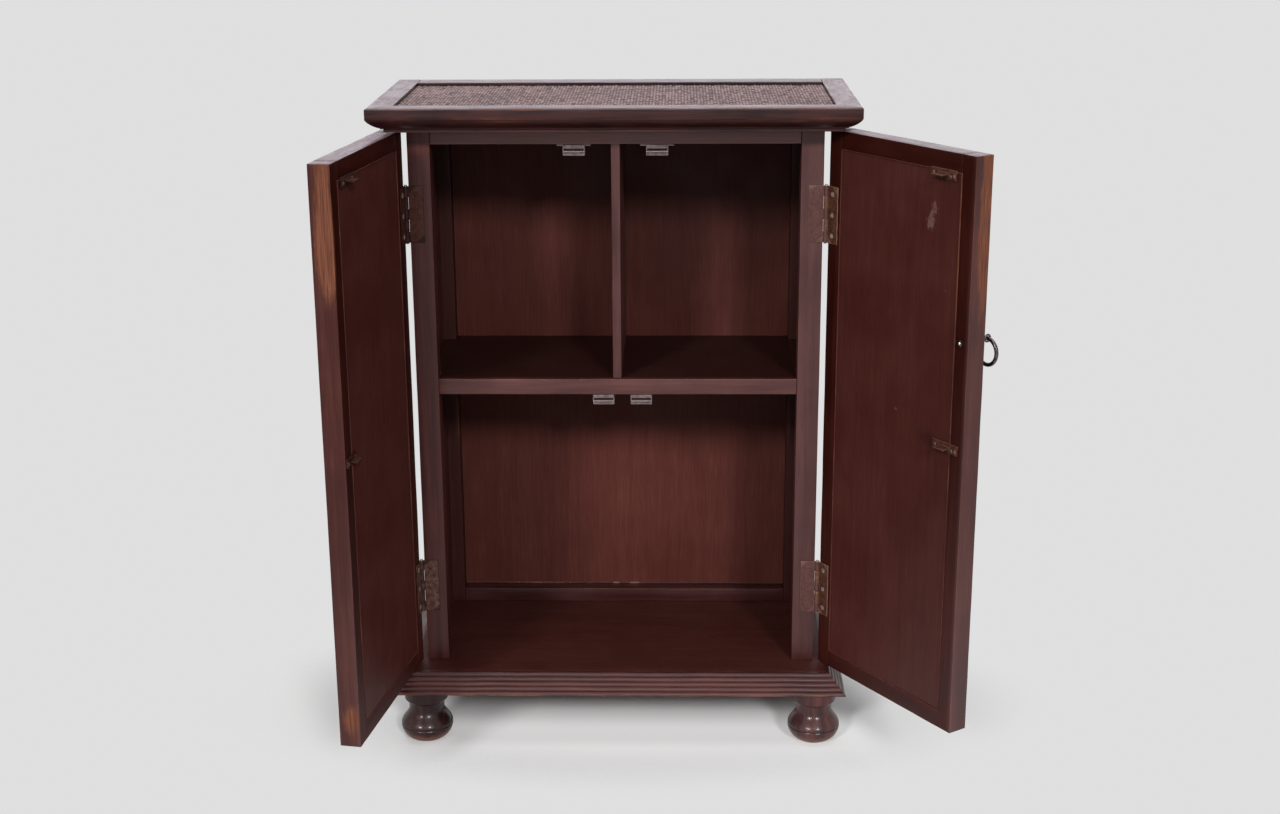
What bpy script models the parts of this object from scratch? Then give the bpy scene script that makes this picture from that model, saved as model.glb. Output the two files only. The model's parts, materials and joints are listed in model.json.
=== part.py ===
"""Two-door cabinet: panelled case on a reeded base and four turned feet, with a caned top.

Metres, +Z up, and the case faces -Y. Both doors stand open, each turned about its own hinge pins.
The cabinet is drawn about the middle of the case, on the underside of the base board, and then
moved so that the origin is in the middle of the front left foot's base, on the floor.
"""
import math

import bmesh
import bpy
from mathutils import Vector

# Clearances
GAP = 0.0003            # between pieces that touch
EASE = 0.0006           # softened arrises on the boards

# Case
BODY_WIDTH = 0.544
BODY_DEPTH = 0.240
POST_HEIGHT = 0.753     # between the base board and the top frame
POST = 0.030            # the posts are square
POST_TENON = 0.014      # width of the square stubs on a post's ends
POST_TENON_LONG = 0.012
RAIL_HIGH = 0.022       # the case's top rails
RAIL_THICK = 0.020
RAIL_TENON_LONG = 0.012
RAIL_TENON_THICK = 0.008
RAIL_SHOULDER = 0.004   # wood above and below a tenon
BACK_RAIL_HIGH = 0.021  # bottom rail at the back
SIDE_PANEL_THICK = 0.008
SIDE_PANEL_INSET = 0.004    # outer face behind the posts' outer faces
PANEL_TONGUE = 0.007    # how far the side panels enter their grooves
BACK_PANEL_THICK = 0.008
BACK_PANEL_INSET = 0.001
BACK_REBATE = 0.010     # width of the step that holds the back panel

# Inside
LOWER_CLEAR = 0.3915    # height of the lower compartment
SHELF_THICK = 0.022
SHELF_TENON_LONG = 0.008
SHELF_TENON_WIDE = 0.016
DIVIDER_THICK = 0.012
DIVIDER_SETBACK = 0.001

# Base
BASE_THICK = 0.026
FRONT_LEDGE = 0.040     # flat ledge before the posts
SIDE_LEDGE = 0.019
REED_COUNT = 5
REED_OUT = 0.0046       # each reed stands this much further out than the one above
STRIP_LAND = 0.003      # flat top of the moulding, level with the ledge

# Feet
FOOT_HIGH = 0.080
FOOT_BALL = 0.0364      # radii
FOOT_NECK = 0.0246
FOOT_COLLAR = 0.0305
FOOT_BASE = 0.014
COLLAR_HIGH = 0.0205
NECK_DROP = 0.033       # heights of the neck and of the ball below the base
BALL_DROP = 0.0575
SPIGOT = 0.007
SPIGOT_LONG = 0.018
FOOT_FROM_SIDE = 0.0413     # a foot's middle inside the edges of the base
FOOT_FROM_FRONT = 0.038
FOOT_FROM_BACK = 0.038
FOOT_STEPS = 20

# Top
FRONT_OVERHANG = 0.063
SIDE_OVERHANG = 0.043
TOP_THICK = 0.033
STRIP_WIDE = 0.032      # frame that shows round the cane
BACK_STRIP_WIDE = 0.038
BACK_BEARER = 0.010     # ledge under the backing board at the back
CANE_DROP = 0.004       # cane below the frame's top
CANE_THICK = 0.002
BACKING_THICK = 0.008
CORNICE_FACE = 0.0160   # upright face of the cornice
CORNICE_STEP = 0.0055
CORNICE_ROUND = 0.0095  # run of the quarter round
CORNICE_FALL = 0.0080   # its drop
CORNICE_FILLET = 0.0015
CORNICE_FOOT = 0.0205   # how far the cornice's foot stands in from its face

# Doors
LEFT_OPEN = math.radians(99.5)
RIGHT_OPEN = math.radians(124.5)
DOOR_THICK = 0.028
DOOR_CLEAR = 0.002      # above and below each door
DOOR_STANDOFF = 0.003   # between the posts and the closed doors
MEETING_GAP = 0.001     # between the closed doors
STILE_WIDE = 0.023
DOOR_TENON_LONG = 0.015
DOOR_TENON_THICK = 0.0068
DOOR_SHOULDER = 0.004
PANEL_LINE = 0.0005     # fine line round each door panel
PANEL_SINK = 0.0006     # panel behind the door's inner face
PANEL_OUT_SINK = 0.007  # panel behind the door's outer face
DOOR_PANEL_EDGE = 0.008     # thickness of the tongue round the panel
DOOR_PANEL_TONGUE = 0.005
GROOVE_SET = 0.009      # groove and tenons from the door's inner face

# Hinges
PIN_OFFSET = 0.0035     # pin outside the case's side
PIN_RADIUS = 0.00145
PIN_TIP = 0.0024
BARREL_RADIUS = 0.0032
HINGE_HIGH = 0.076
KNUCKLES = 5
LEAF_WIDE = 0.0195
LEAF_THICK = 0.0010
HINGE_FROM_TOP = 0.114      # middle of the upper hinges under the top frame
HINGE_FROM_BASE = 0.113     # middle of the lower hinges over the base board
HINGE_STEPS = 12

# Catches and strikes
UPPER_CATCH_X = 0.0545
LOWER_LEFT_CATCH_X = 0.019
LOWER_RIGHT_CATCH_X = 0.032
CATCH_WIDE = 0.029
CATCH_EARS = 0.0445
CATCH_HIGH = 0.016
CATCH_DEEP = 0.014
CATCH_SETBACK = 0.003
EAR_THICK = 0.0015
SLOT_WIDE = 0.025
SLOT_HIGH = 0.003
SLOT_DROP = 0.0075      # slot's middle below the catch's top
SLOT_DEEP = 0.011
STRIKE_WIDE = 0.046
STRIKE_HIGH = 0.018
STRIKE_THICK = 0.0012
TONGUE_WIDE = 0.020
TONGUE_THICK = 0.0018
TONGUE_REACH = 0.0135   # from the door's inner face

# Ring pull
PULL_Z = 0.547
PULL_FROM_EDGE = 0.0135
BOLT = 0.0025
PULL_REACH = 0.017      # the ring's axis before the door's outer face
EYE = 0.0033            # radius of the eye, wide enough for the ring's curved wire to turn
HEAD = 0.0052
ROSE = 0.0080
ROSE_THICK = 0.0020
NUT = 0.0045
NUT_THICK = 0.0022
RING_RADIUS = 0.0178
RING_WIRE = 0.0022

# Worked out from the sizes above
HALF = BODY_WIDTH / 2
FRONT = -BODY_DEPTH / 2
BACK = BODY_DEPTH / 2
CASE_TOP = BASE_THICK + POST_HEIGHT
TOP = CASE_TOP + TOP_THICK
POST_IN = HALF - POST
BACK_POST_FRONT = BACK - POST
PANEL_FRONT = BACK - BACK_PANEL_INSET - BACK_PANEL_THICK
SIDE_OUT = HALF - SIDE_PANEL_INSET
SIDE_IN = SIDE_OUT - SIDE_PANEL_THICK
SHELF_Z = BASE_THICK + LOWER_CLEAR
SHELF_TOP = SHELF_Z + SHELF_THICK
RAIL_Z = CASE_TOP - RAIL_HIGH
REED_RUN = REED_COUNT * REED_OUT
BASE_HALF = HALF + SIDE_LEDGE - STRIP_LAND
BASE_FRONT = FRONT - FRONT_LEDGE + STRIP_LAND
STRIP_THICK = STRIP_LAND + REED_RUN
FOOT_X = BASE_HALF + GAP + STRIP_THICK - FOOT_FROM_SIDE
TOP_HALF = HALF + SIDE_OVERHANG
TOP_FRONT = FRONT - FRONT_OVERHANG
RAIL_WIDE = SIDE_OVERHANG + POST
REBATE_DEEP = CANE_DROP + CANE_THICK + BACKING_THICK + 2 * GAP
BEARER_Z = TOP - REBATE_DEEP
DOOR_Z = BASE_THICK + DOOR_CLEAR
DOOR_TOP = CASE_TOP - DOOR_CLEAR
UPPER_HINGE_Z = CASE_TOP - HINGE_FROM_TOP
LOWER_HINGE_Z = BASE_THICK + HINGE_FROM_BASE
PIN_X = HALF + PIN_OFFSET
PIN_Y = FRONT - DOOR_STANDOFF / 2
DOOR_EDGE = PIN_OFFSET                      # hinge edge and free edge of a door, from its pins
DOOR_FREE = PIN_X - MEETING_GAP / 2
DOOR_FACE = DOOR_STANDOFF / 2               # inner face, from the pins
SLOT_Z_UNDER_RAIL = RAIL_Z - GAP - SLOT_DROP
SLOT_Z_UNDER_SHELF = SHELF_Z - GAP - SLOT_DROP

WOOD = ((0.058, 0.018, 0.013), 0.36, 0.0)
WORN_WOOD = ((0.110, 0.042, 0.030), 0.42, 0.0)
INNER_WOOD = ((0.050, 0.011, 0.008), 0.50, 0.0)
CANE = ((0.190, 0.125, 0.115), 0.55, 0.0)
BRASS = ((0.110, 0.060, 0.035), 0.45, 0.9)
STEEL = ((0.300, 0.260, 0.240), 0.35, 1.0)

cabinet = bpy.data.collections.new("cabinet")
cutters = bpy.data.collections.new("cutters")


def clear_scene():
    """Remove every object, then link the two collections."""
    for item in list(bpy.data.objects):
        bpy.data.objects.remove(item, do_unlink=True)
    for collection in (cabinet, cutters):
        bpy.context.scene.collection.children.link(collection)


def settle(item, name, look, parent):
    """Name a piece, put it in the cabinet's collection and give it its own material."""
    item.name = name
    item.data.name = name
    item.parent = parent
    for collection in list(item.users_collection):
        collection.objects.unlink(item)
    if look is None:
        cutters.objects.link(item)
        item.hide_render = True
        item.display_type = "WIRE"
        return item
    cabinet.objects.link(item)
    colour, roughness, metallic = look
    material = bpy.data.materials.new(name)
    material.use_nodes = True
    shader = material.node_tree.nodes["Principled BSDF"]
    shader.inputs["Base Color"].default_value = (*colour, 1.0)
    shader.inputs["Roughness"].default_value = roughness
    shader.inputs["Metallic"].default_value = metallic
    item.data.materials.clear()
    item.data.materials.append(material)
    return item


def block(name, low, high, look=None, parent=None, ease=0.0):
    """Box between two corners; it is a cutter where it has no look."""
    low, high = Vector(low), Vector(high)
    bpy.ops.mesh.primitive_cube_add(size=1.0, location=(low + high) / 2)
    item = bpy.context.object
    item.scale = high - low
    bpy.ops.object.transform_apply(location=False, rotation=False, scale=True)
    settle(item, name, look, parent)
    if ease:
        bevel = item.modifiers.new("eased arrises", "BEVEL")
        bevel.width = ease
        bevel.segments = 1
    return item


def rod(name, radius, length, centre, turn=(0.0, 0.0, 0.0), look=None, parent=None, sides=HINGE_STEPS):
    """Cylinder along its own Z, turned and placed."""
    bpy.ops.mesh.primitive_cylinder_add(radius=radius, depth=length, vertices=sides, location=centre,
                                        rotation=turn)
    return settle(bpy.context.object, name, look, parent)


def combine(item, other, operation):
    """Cut or join another solid into a piece."""
    boolean = item.modifiers.new(other.name, "BOOLEAN")
    boolean.operation = operation
    boolean.solver = "EXACT"
    boolean.object = other


def add(item, low, high):
    """Join a box to a piece, such as a tenon."""
    name = f"{item.name}_tenon_{len(item.modifiers)}"
    combine(item, block(name, low, high, parent=item.parent), "UNION")


def cut(item, low, high):
    """Cut a box out of a piece, such as a mortise or a groove."""
    name = f"{item.name}_cut_{len(item.modifiers)}"
    combine(item, block(name, low, high, parent=item.parent), "DIFFERENCE")


def span(sign, near, far):
    """Low and high of a stretch given by its distances from the middle, on the side of sign."""
    return (near, far) if sign > 0 else (-far, -near)


def sheet(name, outline, thickness, look, turn, centre, parent=None):
    """Flat outline extruded to a thickness: local x and y are turned and placed."""
    curve = bpy.data.curves.new(name, "CURVE")
    curve.dimensions = "2D"
    curve.fill_mode = "BOTH"
    curve.extrude = thickness / 2
    spline = curve.splines.new("POLY")
    spline.points.add(len(outline) - 1)
    for point, (x, y) in zip(spline.points, outline):
        point.co = (x, y, 0.0, 1.0)
    spline.use_cyclic_u = True
    flat = bpy.data.objects.new(name + "_outline", curve)
    bpy.context.scene.collection.objects.link(flat)
    flat.rotation_euler = turn
    flat.location = centre
    bpy.context.view_layer.update()
    evaluated = flat.evaluated_get(bpy.context.evaluated_depsgraph_get())
    mesh = bpy.data.meshes.new_from_object(evaluated)
    weld = bmesh.new()
    weld.from_mesh(mesh)
    bmesh.ops.remove_doubles(weld, verts=weld.verts, dist=0.00001)
    bmesh.ops.recalc_face_normals(weld, faces=weld.faces)
    weld.to_mesh(mesh)
    weld.free()
    item = bpy.data.objects.new(name, mesh)
    bpy.context.scene.collection.objects.link(item)
    item.matrix_world = flat.matrix_world.copy()
    bpy.data.objects.remove(flat, do_unlink=True)
    return settle(item, name, look, parent)


def turned(name, profile, steps, look, centre, turn=(0.0, 0.0, 0.0), parent=None):
    """Turned solid: the profile runs from the axis at the top to the axis at the bottom."""
    mesh = bpy.data.meshes.new(name)
    points = [(radius, 0.0, height) for radius, height in profile]
    mesh.from_pydata(points, [(i, i + 1) for i in range(len(points) - 1)], [])
    item = bpy.data.objects.new(name, mesh)
    bpy.context.scene.collection.objects.link(item)
    item.location = centre
    item.rotation_euler = turn
    screw = item.modifiers.new("turning", "SCREW")
    screw.axis = "Z"
    screw.steps = steps
    screw.render_steps = steps
    screw.use_merge_vertices = True
    screw.merge_threshold = 0.00001
    screw.use_smooth_shade = True
    return settle(item, name, look, parent)


def mitre(item, corner, keep):
    """Cut a piece back at 45 degrees through an outer corner; keep points to the side that stays."""
    away = Vector((-keep[0], -keep[1], 0.0)).normalized()
    size = 4 * RAIL_WIDE
    middle = Vector((corner[0], corner[1], 0.0)) + away * (size / 2 - GAP / 2)
    bpy.ops.mesh.primitive_cube_add(size=1.0, location=(middle.x, middle.y, TOP / 2),
                                    rotation=(0.0, 0.0, math.radians(45)))
    wedge = bpy.context.object
    wedge.scale = (size, size, 2 * TOP)
    bpy.ops.object.transform_apply(location=False, rotation=False, scale=True)
    settle(wedge, f"{item.name}_mitre_{len(item.modifiers)}", None, item.parent)
    combine(item, wedge, "DIFFERENCE")


def run(name, outline, heading, outer, length, middle, base_z, look):
    """Moulding of one outline: local x points out along heading, local y up."""
    out = Vector((math.cos(heading), math.sin(heading), 0.0))
    along = Vector((-out.y, out.x, 0.0))
    centre = out * outer + along * middle
    centre.z = base_z
    return sheet(name, outline, length, look, (math.pi / 2, 0.0, heading), centre)


RIGHT, LEFT, FORWARD = 0.0, math.pi, -math.pi / 2
SIDES = (("left", -1), ("right", 1))


def build_base():
    """Base board with its mortises, and the reeded strips mitred round it."""
    board = block("base_board", (-BASE_HALF, BASE_FRONT, 0.0), (BASE_HALF, BACK, BASE_THICK), WOOD)
    for _, sign in SIDES:
        for post_y in (FRONT + POST / 2, BACK - POST / 2):
            low, high = span(sign, POST_IN + POST / 2 - POST_TENON / 2 - GAP,
                             POST_IN + POST / 2 + POST_TENON / 2 + GAP)
            cut(board, (low, post_y - POST_TENON / 2 - GAP, BASE_THICK - POST_TENON_LONG - GAP),
                (high, post_y + POST_TENON / 2 + GAP, 2 * BASE_THICK))
        for foot_y in foot_rows():
            hole = rod(f"spigot_hole_{len(board.modifiers)}", SPIGOT + GAP, 2 * SPIGOT_LONG + 2 * GAP,
                       (sign * FOOT_X, foot_y, 0.0), sides=FOOT_STEPS)
            combine(board, hole, "DIFFERENCE")

    outline = strip_outline()
    inner_half, inner_front = BASE_HALF + GAP, BASE_FRONT - GAP
    corner_x, corner_y = inner_half + STRIP_THICK, inner_front - STRIP_THICK
    front = run("base_moulding_front", outline, FORWARD, -inner_front, 2 * corner_x, 0.0, 0.0, WOOD)
    for name, sign in SIDES:
        mitre(front, (sign * corner_x, corner_y), (-sign, -1))
        length = BACK - corner_y
        side = run(f"base_moulding_{name}", outline, RIGHT if sign > 0 else LEFT, inner_half, length,
                   sign * (corner_y + length / 2), 0.0, WOOD)
        mitre(side, (sign * corner_x, corner_y), (sign, 1))


def strip_outline():
    """Section of the base moulding: reeds that step out and down in equal arcs."""
    drop = BASE_THICK / REED_COUNT
    outline = [(0.0, 0.0), (0.0, BASE_THICK), (STRIP_LAND, BASE_THICK)]
    for reed in range(REED_COUNT):
        left, top = STRIP_LAND + reed * REED_OUT, BASE_THICK - reed * drop
        for share in (0.2, 0.5, 0.8, 1.0):
            angle = share * math.pi / 2
            outline.append((left + REED_OUT * math.sin(angle), top - drop * (1 - math.cos(angle))))
    return outline[::-1]


def foot_rows():
    """Y of the front and of the rear feet."""
    base_edge = BASE_FRONT - GAP - STRIP_THICK
    return base_edge + FOOT_FROM_FRONT, BACK - FOOT_FROM_BACK


def build_feet():
    """Four turned feet: spigot, collar, waisted neck, ball and a small flat base."""
    profile = [(0.0, SPIGOT_LONG), (SPIGOT, SPIGOT_LONG), (SPIGOT, -GAP), (FOOT_COLLAR, -GAP),
               (FOOT_COLLAR, -COLLAR_HIGH + 0.0025), (FOOT_COLLAR - 0.0025, -COLLAR_HIGH)]
    shoulder = FOOT_NECK + 0.0015
    profile.append((shoulder, -COLLAR_HIGH - 0.0025))
    profile.append((FOOT_NECK, -NECK_DROP))
    for share in (0.25, 0.45, 0.65, 0.85):
        swell = (1 - math.cos(math.pi * share)) / 2
        profile.append((FOOT_NECK + (FOOT_BALL - FOOT_NECK) * swell,
                        -NECK_DROP - (BALL_DROP - NECK_DROP) * share))
    for share in (0.0, 0.25, 0.5, 0.75, 1.0):
        angle = share * math.pi / 2
        profile.append((FOOT_BASE + (FOOT_BALL - FOOT_BASE) * math.cos(angle),
                        -BALL_DROP - (FOOT_HIGH - BALL_DROP) * math.sin(angle)))
    profile.append((0.0, -FOOT_HIGH))
    for row, foot_y in zip(("front", "rear"), foot_rows()):
        for name, sign in SIDES:
            turned(f"foot_{row}_{name}", profile, FOOT_STEPS, WOOD, (sign * FOOT_X, foot_y, 0.0))


def build_posts():
    """Four posts with stub tenons, grooved for the side panels and housed for rails and shelf."""
    for name, sign in SIDES:
        for row, low_y, high_y in (("front", FRONT, FRONT + POST), ("rear", BACK_POST_FRONT, BACK)):
            low, high = span(sign, POST_IN, HALF)
            post = block(f"post_{row}_{name}", (low, low_y, BASE_THICK + GAP),
                         (high, high_y, CASE_TOP - GAP), WOOD, ease=EASE)
            margin = (POST - POST_TENON) / 2
            add(post, (low + margin, low_y + margin, BASE_THICK - POST_TENON_LONG),
                (high - margin, high_y - margin, BASE_THICK + POST_TENON_LONG))
            add(post, (low + margin, low_y + margin, CASE_TOP - POST_TENON_LONG),
                (high - margin, high_y - margin, CASE_TOP + POST_TENON_LONG))
            cut_post(post, sign, row)


def cut_post(post, sign, row):
    """Groove, mortises and rebate of one post."""
    groove_low, groove_high = span(sign, SIDE_IN - GAP, SIDE_OUT + GAP)
    tenon_low, tenon_high = span(sign, POST_IN - RAIL_TENON_LONG, POST_IN + RAIL_TENON_LONG + GAP)
    shelf_low, shelf_high = span(sign, POST_IN - SHELF_TENON_LONG, POST_IN + SHELF_TENON_LONG + GAP)
    if row == "front":
        groove_y = (FRONT + POST - PANEL_TONGUE - GAP, FRONT + 2 * POST)
        side_tenon_y = (FRONT + POST - RAIL_TENON_LONG - GAP, FRONT + 2 * POST)
        rail_y = front_tenon_y()
    else:
        groove_y = (BACK_POST_FRONT - POST, BACK_POST_FRONT + PANEL_TONGUE + GAP)
        side_tenon_y = (BACK_POST_FRONT - POST, BACK_POST_FRONT + RAIL_TENON_LONG + GAP)
        rail_y = back_tenon_y()
    cut(post, (groove_low, groove_y[0], BASE_THICK - GAP), (groove_high, groove_y[1], RAIL_Z + POST_TENON_LONG))
    side_low, side_high = side_tenon_x(sign)
    cut(post, (side_low - GAP, side_tenon_y[0], RAIL_Z + RAIL_SHOULDER - GAP),
        (side_high + GAP, side_tenon_y[1], CASE_TOP - RAIL_SHOULDER + GAP))
    cut(post, (tenon_low, rail_y[0] - GAP, RAIL_Z + RAIL_SHOULDER - GAP),
        (tenon_high, rail_y[1] + GAP, CASE_TOP - RAIL_SHOULDER + GAP))
    shelf_y = shelf_tenon_y(row)
    cut(post, (shelf_low, shelf_y[0] - GAP, SHELF_Z - GAP), (shelf_high, shelf_y[1] + GAP, SHELF_TOP + GAP))
    if row == "rear":
        cut(post, (tenon_low, rail_y[0] - GAP, BASE_THICK + RAIL_SHOULDER - GAP),
            (tenon_high, rail_y[1] + GAP, BASE_THICK + BACK_RAIL_HIGH - RAIL_SHOULDER + GAP))
        rebate_low, rebate_high = span(sign, POST_IN - BACK_REBATE, POST_IN + BACK_REBATE + GAP)
        cut(post, (rebate_low, PANEL_FRONT - GAP, BASE_THICK - GAP),
            (rebate_high, BACK + POST, CASE_TOP + GAP))


def front_tenon_y():
    """Depths between which the front top rail's tenons lie."""
    middle = FRONT + RAIL_THICK / 2
    return middle - RAIL_TENON_THICK / 2, middle + RAIL_TENON_THICK / 2


def back_tenon_y():
    """Depths between which the back rails' tenons lie."""
    middle = (BACK_POST_FRONT + PANEL_FRONT) / 2
    return middle - RAIL_TENON_THICK / 2, middle + RAIL_TENON_THICK / 2


def side_tenon_x(sign):
    """Distances between which a side rail's tenons lie, over the panel's groove."""
    middle = HALF - RAIL_THICK / 2
    return span(sign, middle - RAIL_TENON_THICK / 2, middle + RAIL_TENON_THICK / 2)


def shelf_tenon_y(row):
    """Depths between which the shelf's stub tenons lie in a row of posts."""
    if row == "front":
        middle = FRONT + POST / 2
        return middle - SHELF_TENON_WIDE / 2, middle + SHELF_TENON_WIDE / 2
    middle = (BACK_POST_FRONT + PANEL_FRONT) / 2
    half = min(SHELF_TENON_WIDE, (PANEL_FRONT - BACK_POST_FRONT) / 2) / 2
    return middle - half, middle + half


def build_rails():
    """Top rails on all four sides and the bottom rail at the back."""
    shoulder = POST_IN - GAP
    reach = POST_IN + RAIL_TENON_LONG
    long_rails = (
        ("front_top_rail", FRONT, FRONT + RAIL_THICK, RAIL_Z, CASE_TOP - GAP, front_tenon_y(), WOOD),
        ("back_top_rail", BACK_POST_FRONT, PANEL_FRONT - GAP, RAIL_Z, CASE_TOP - GAP, back_tenon_y(),
         INNER_WOOD),
        ("back_bottom_rail", BACK_POST_FRONT, PANEL_FRONT - GAP, BASE_THICK + GAP,
         BASE_THICK + BACK_RAIL_HIGH, back_tenon_y(), INNER_WOOD),
    )
    for name, low_y, high_y, low_z, high_z, tenon_y, look in long_rails:
        rail = block(name, (-shoulder, low_y, low_z), (shoulder, high_y, high_z), look, ease=EASE)
        foot_z = low_z if low_z == RAIL_Z else BASE_THICK
        head_z = CASE_TOP if low_z == RAIL_Z else BASE_THICK + BACK_RAIL_HIGH
        add(rail, (-reach, tenon_y[0], foot_z + RAIL_SHOULDER), (reach, tenon_y[1], head_z - RAIL_SHOULDER))
    for name, sign in SIDES:
        low, high = span(sign, HALF - RAIL_THICK, HALF)
        rail = block(f"side_top_rail_{name}", (low, FRONT + POST + GAP, RAIL_Z),
                     (high, BACK_POST_FRONT - GAP, CASE_TOP - GAP), WOOD, ease=EASE)
        tenon_low, tenon_high = side_tenon_x(sign)
        add(rail, (tenon_low, FRONT + POST - RAIL_TENON_LONG, RAIL_Z + RAIL_SHOULDER),
            (tenon_high, BACK_POST_FRONT + RAIL_TENON_LONG, CASE_TOP - RAIL_SHOULDER))
        groove_low, groove_high = span(sign, SIDE_IN - GAP, SIDE_OUT + GAP)
        cut(rail, (groove_low, FRONT, RAIL_Z - GAP), (groove_high, BACK, RAIL_Z + RAIL_SHOULDER - GAP))


def build_panels():
    """Side panels in their grooves and the back panel in its rebate."""
    for name, sign in SIDES:
        low, high = span(sign, SIDE_IN, SIDE_OUT)
        block(f"side_panel_{name}", (low, FRONT + POST - PANEL_TONGUE, BASE_THICK + GAP),
              (high, BACK_POST_FRONT + PANEL_TONGUE, RAIL_Z + RAIL_SHOULDER - 2 * GAP), WOOD)
    half = POST_IN + BACK_REBATE
    block("back_panel", (-half, PANEL_FRONT, BASE_THICK + GAP),
          (half, PANEL_FRONT + BACK_PANEL_THICK, CASE_TOP - GAP), INNER_WOOD)


def build_inside():
    """Shelf notched round the posts, and the upright divider that stands on it."""
    shelf_half = SIDE_IN - GAP
    neck = POST_IN - GAP
    tongue = POST_IN + SHELF_TENON_LONG
    front_y, back_y = shelf_tenon_y("front"), shelf_tenon_y("rear")
    edge = [(neck, FRONT), (neck, front_y[0]), (tongue, front_y[0]), (tongue, front_y[1]),
            (neck, front_y[1]), (neck, FRONT + POST + GAP), (shelf_half, FRONT + POST + GAP),
            (shelf_half, BACK_POST_FRONT - GAP), (neck, BACK_POST_FRONT - GAP), (neck, back_y[0]),
            (tongue, back_y[0]), (tongue, back_y[1]), (neck, back_y[1]), (neck, PANEL_FRONT - GAP)]
    outline = edge + [(-x, y) for x, y in reversed(edge)]
    sheet("shelf", outline, SHELF_THICK, INNER_WOOD, (0.0, 0.0, 0.0), (0.0, 0.0, SHELF_Z + SHELF_THICK / 2))

    under_rail, under_frame, under_board = RAIL_Z - GAP, CASE_TOP - GAP, BEARER_Z - GAP
    frame_front = TOP_FRONT + RAIL_WIDE + GAP
    frame_back = BACK - BACK_STRIP_WIDE - BACK_BEARER - GAP
    foot = SHELF_TOP + GAP
    side = [(FRONT + DIVIDER_SETBACK, foot), (FRONT + DIVIDER_SETBACK, under_rail),
            (FRONT + RAIL_THICK + GAP, under_rail), (FRONT + RAIL_THICK + GAP, under_frame),
            (max(frame_front, FRONT + RAIL_THICK + 2 * GAP), under_frame),
            (max(frame_front, FRONT + RAIL_THICK + 2 * GAP), under_board),
            (frame_back, under_board), (frame_back, under_frame), (BACK_POST_FRONT - GAP, under_frame),
            (BACK_POST_FRONT - GAP, under_rail), (PANEL_FRONT - GAP, under_rail), (PANEL_FRONT - GAP, foot)]
    sheet("divider", side, DIVIDER_THICK, INNER_WOOD, (math.pi / 2, 0.0, math.pi / 2), (0.0, 0.0, 0.0))


def cornice_outline(rail_wide):
    """Section of the top frame, from its outermost face at x = 0 inward; y is up from its underside."""
    step_y = TOP_THICK - CORNICE_FACE
    round_y = step_y - 0.0025
    outline = [(0.0, TOP_THICK - EASE), (0.0, step_y + 0.001), (-0.001, step_y),
               (-CORNICE_STEP, step_y), (-CORNICE_STEP, round_y)]
    for share in (0.2, 0.4, 0.6, 0.8, 1.0):
        angle = share * math.pi / 2
        outline.append((-CORNICE_STEP - CORNICE_ROUND * (1 - math.cos(angle)),
                        round_y - CORNICE_FALL * math.sin(angle)))
    edge_x = -CORNICE_STEP - CORNICE_ROUND
    fillet_y = round_y - CORNICE_FALL
    outline += [(edge_x - CORNICE_FILLET, fillet_y), (edge_x - CORNICE_FILLET, fillet_y - CORNICE_FILLET),
                (-CORNICE_FOOT, fillet_y - CORNICE_FILLET), (-CORNICE_FOOT, 0.0), (-rail_wide, 0.0),
                (-rail_wide, TOP_THICK - REBATE_DEEP), (-STRIP_WIDE, TOP_THICK - REBATE_DEEP),
                (-STRIP_WIDE, TOP_THICK), (-EASE, TOP_THICK)]
    return outline


def build_top():
    """Mitred cornice frame, lapped back rail, backing board and cane panel."""
    outline = cornice_outline(RAIL_WIDE)
    front = run("top_frame_front", outline, FORWARD, -TOP_FRONT, 2 * TOP_HALF, 0.0, CASE_TOP, WOOD)
    for name, sign in SIDES:
        corner = (sign * TOP_HALF, TOP_FRONT)
        mitre(front, corner, (-sign, -1))
        length = BACK - TOP_FRONT
        side = run(f"top_frame_{name}", outline, RIGHT if sign > 0 else LEFT, TOP_HALF, length,
                   sign * (TOP_FRONT + length / 2), CASE_TOP, WOOD)
        mitre(side, corner, (sign, 1))
        low, high = span(sign, HALF - POST / 2 - POST_TENON / 2 - GAP, HALF - POST / 2 + POST_TENON / 2 + GAP)
        for post_y in (FRONT + POST / 2, BACK - POST / 2):
            cut(side, (low, post_y - POST_TENON / 2 - GAP, CASE_TOP - POST_TENON_LONG),
                (high, post_y + POST_TENON / 2 + GAP, CASE_TOP + POST_TENON_LONG + GAP))

    inner_half = TOP_HALF - STRIP_WIDE - GAP
    strip_front = BACK - BACK_STRIP_WIDE
    lower_half = TOP_HALF - RAIL_WIDE - GAP
    rail = block("top_frame_back", (-inner_half, strip_front, BEARER_Z + GAP), (inner_half, BACK, TOP), WOOD)
    add(rail, (-lower_half, strip_front - BACK_BEARER, CASE_TOP), (lower_half, BACK, BEARER_Z))
    add(rail, (-lower_half, strip_front, BEARER_Z - GAP), (lower_half, BACK, BEARER_Z + 2 * GAP))

    recess_front = TOP_FRONT + STRIP_WIDE + GAP
    recess_back = strip_front - GAP
    block("top_backing_board", (-inner_half, recess_front, BEARER_Z + GAP),
          (inner_half, recess_back, BEARER_Z + GAP + BACKING_THICK), INNER_WOOD)
    cane_z = TOP - CANE_DROP
    block("cane_panel", (-inner_half, recess_front, cane_z - CANE_THICK), (inner_half, recess_back, cane_z), CANE)


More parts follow.
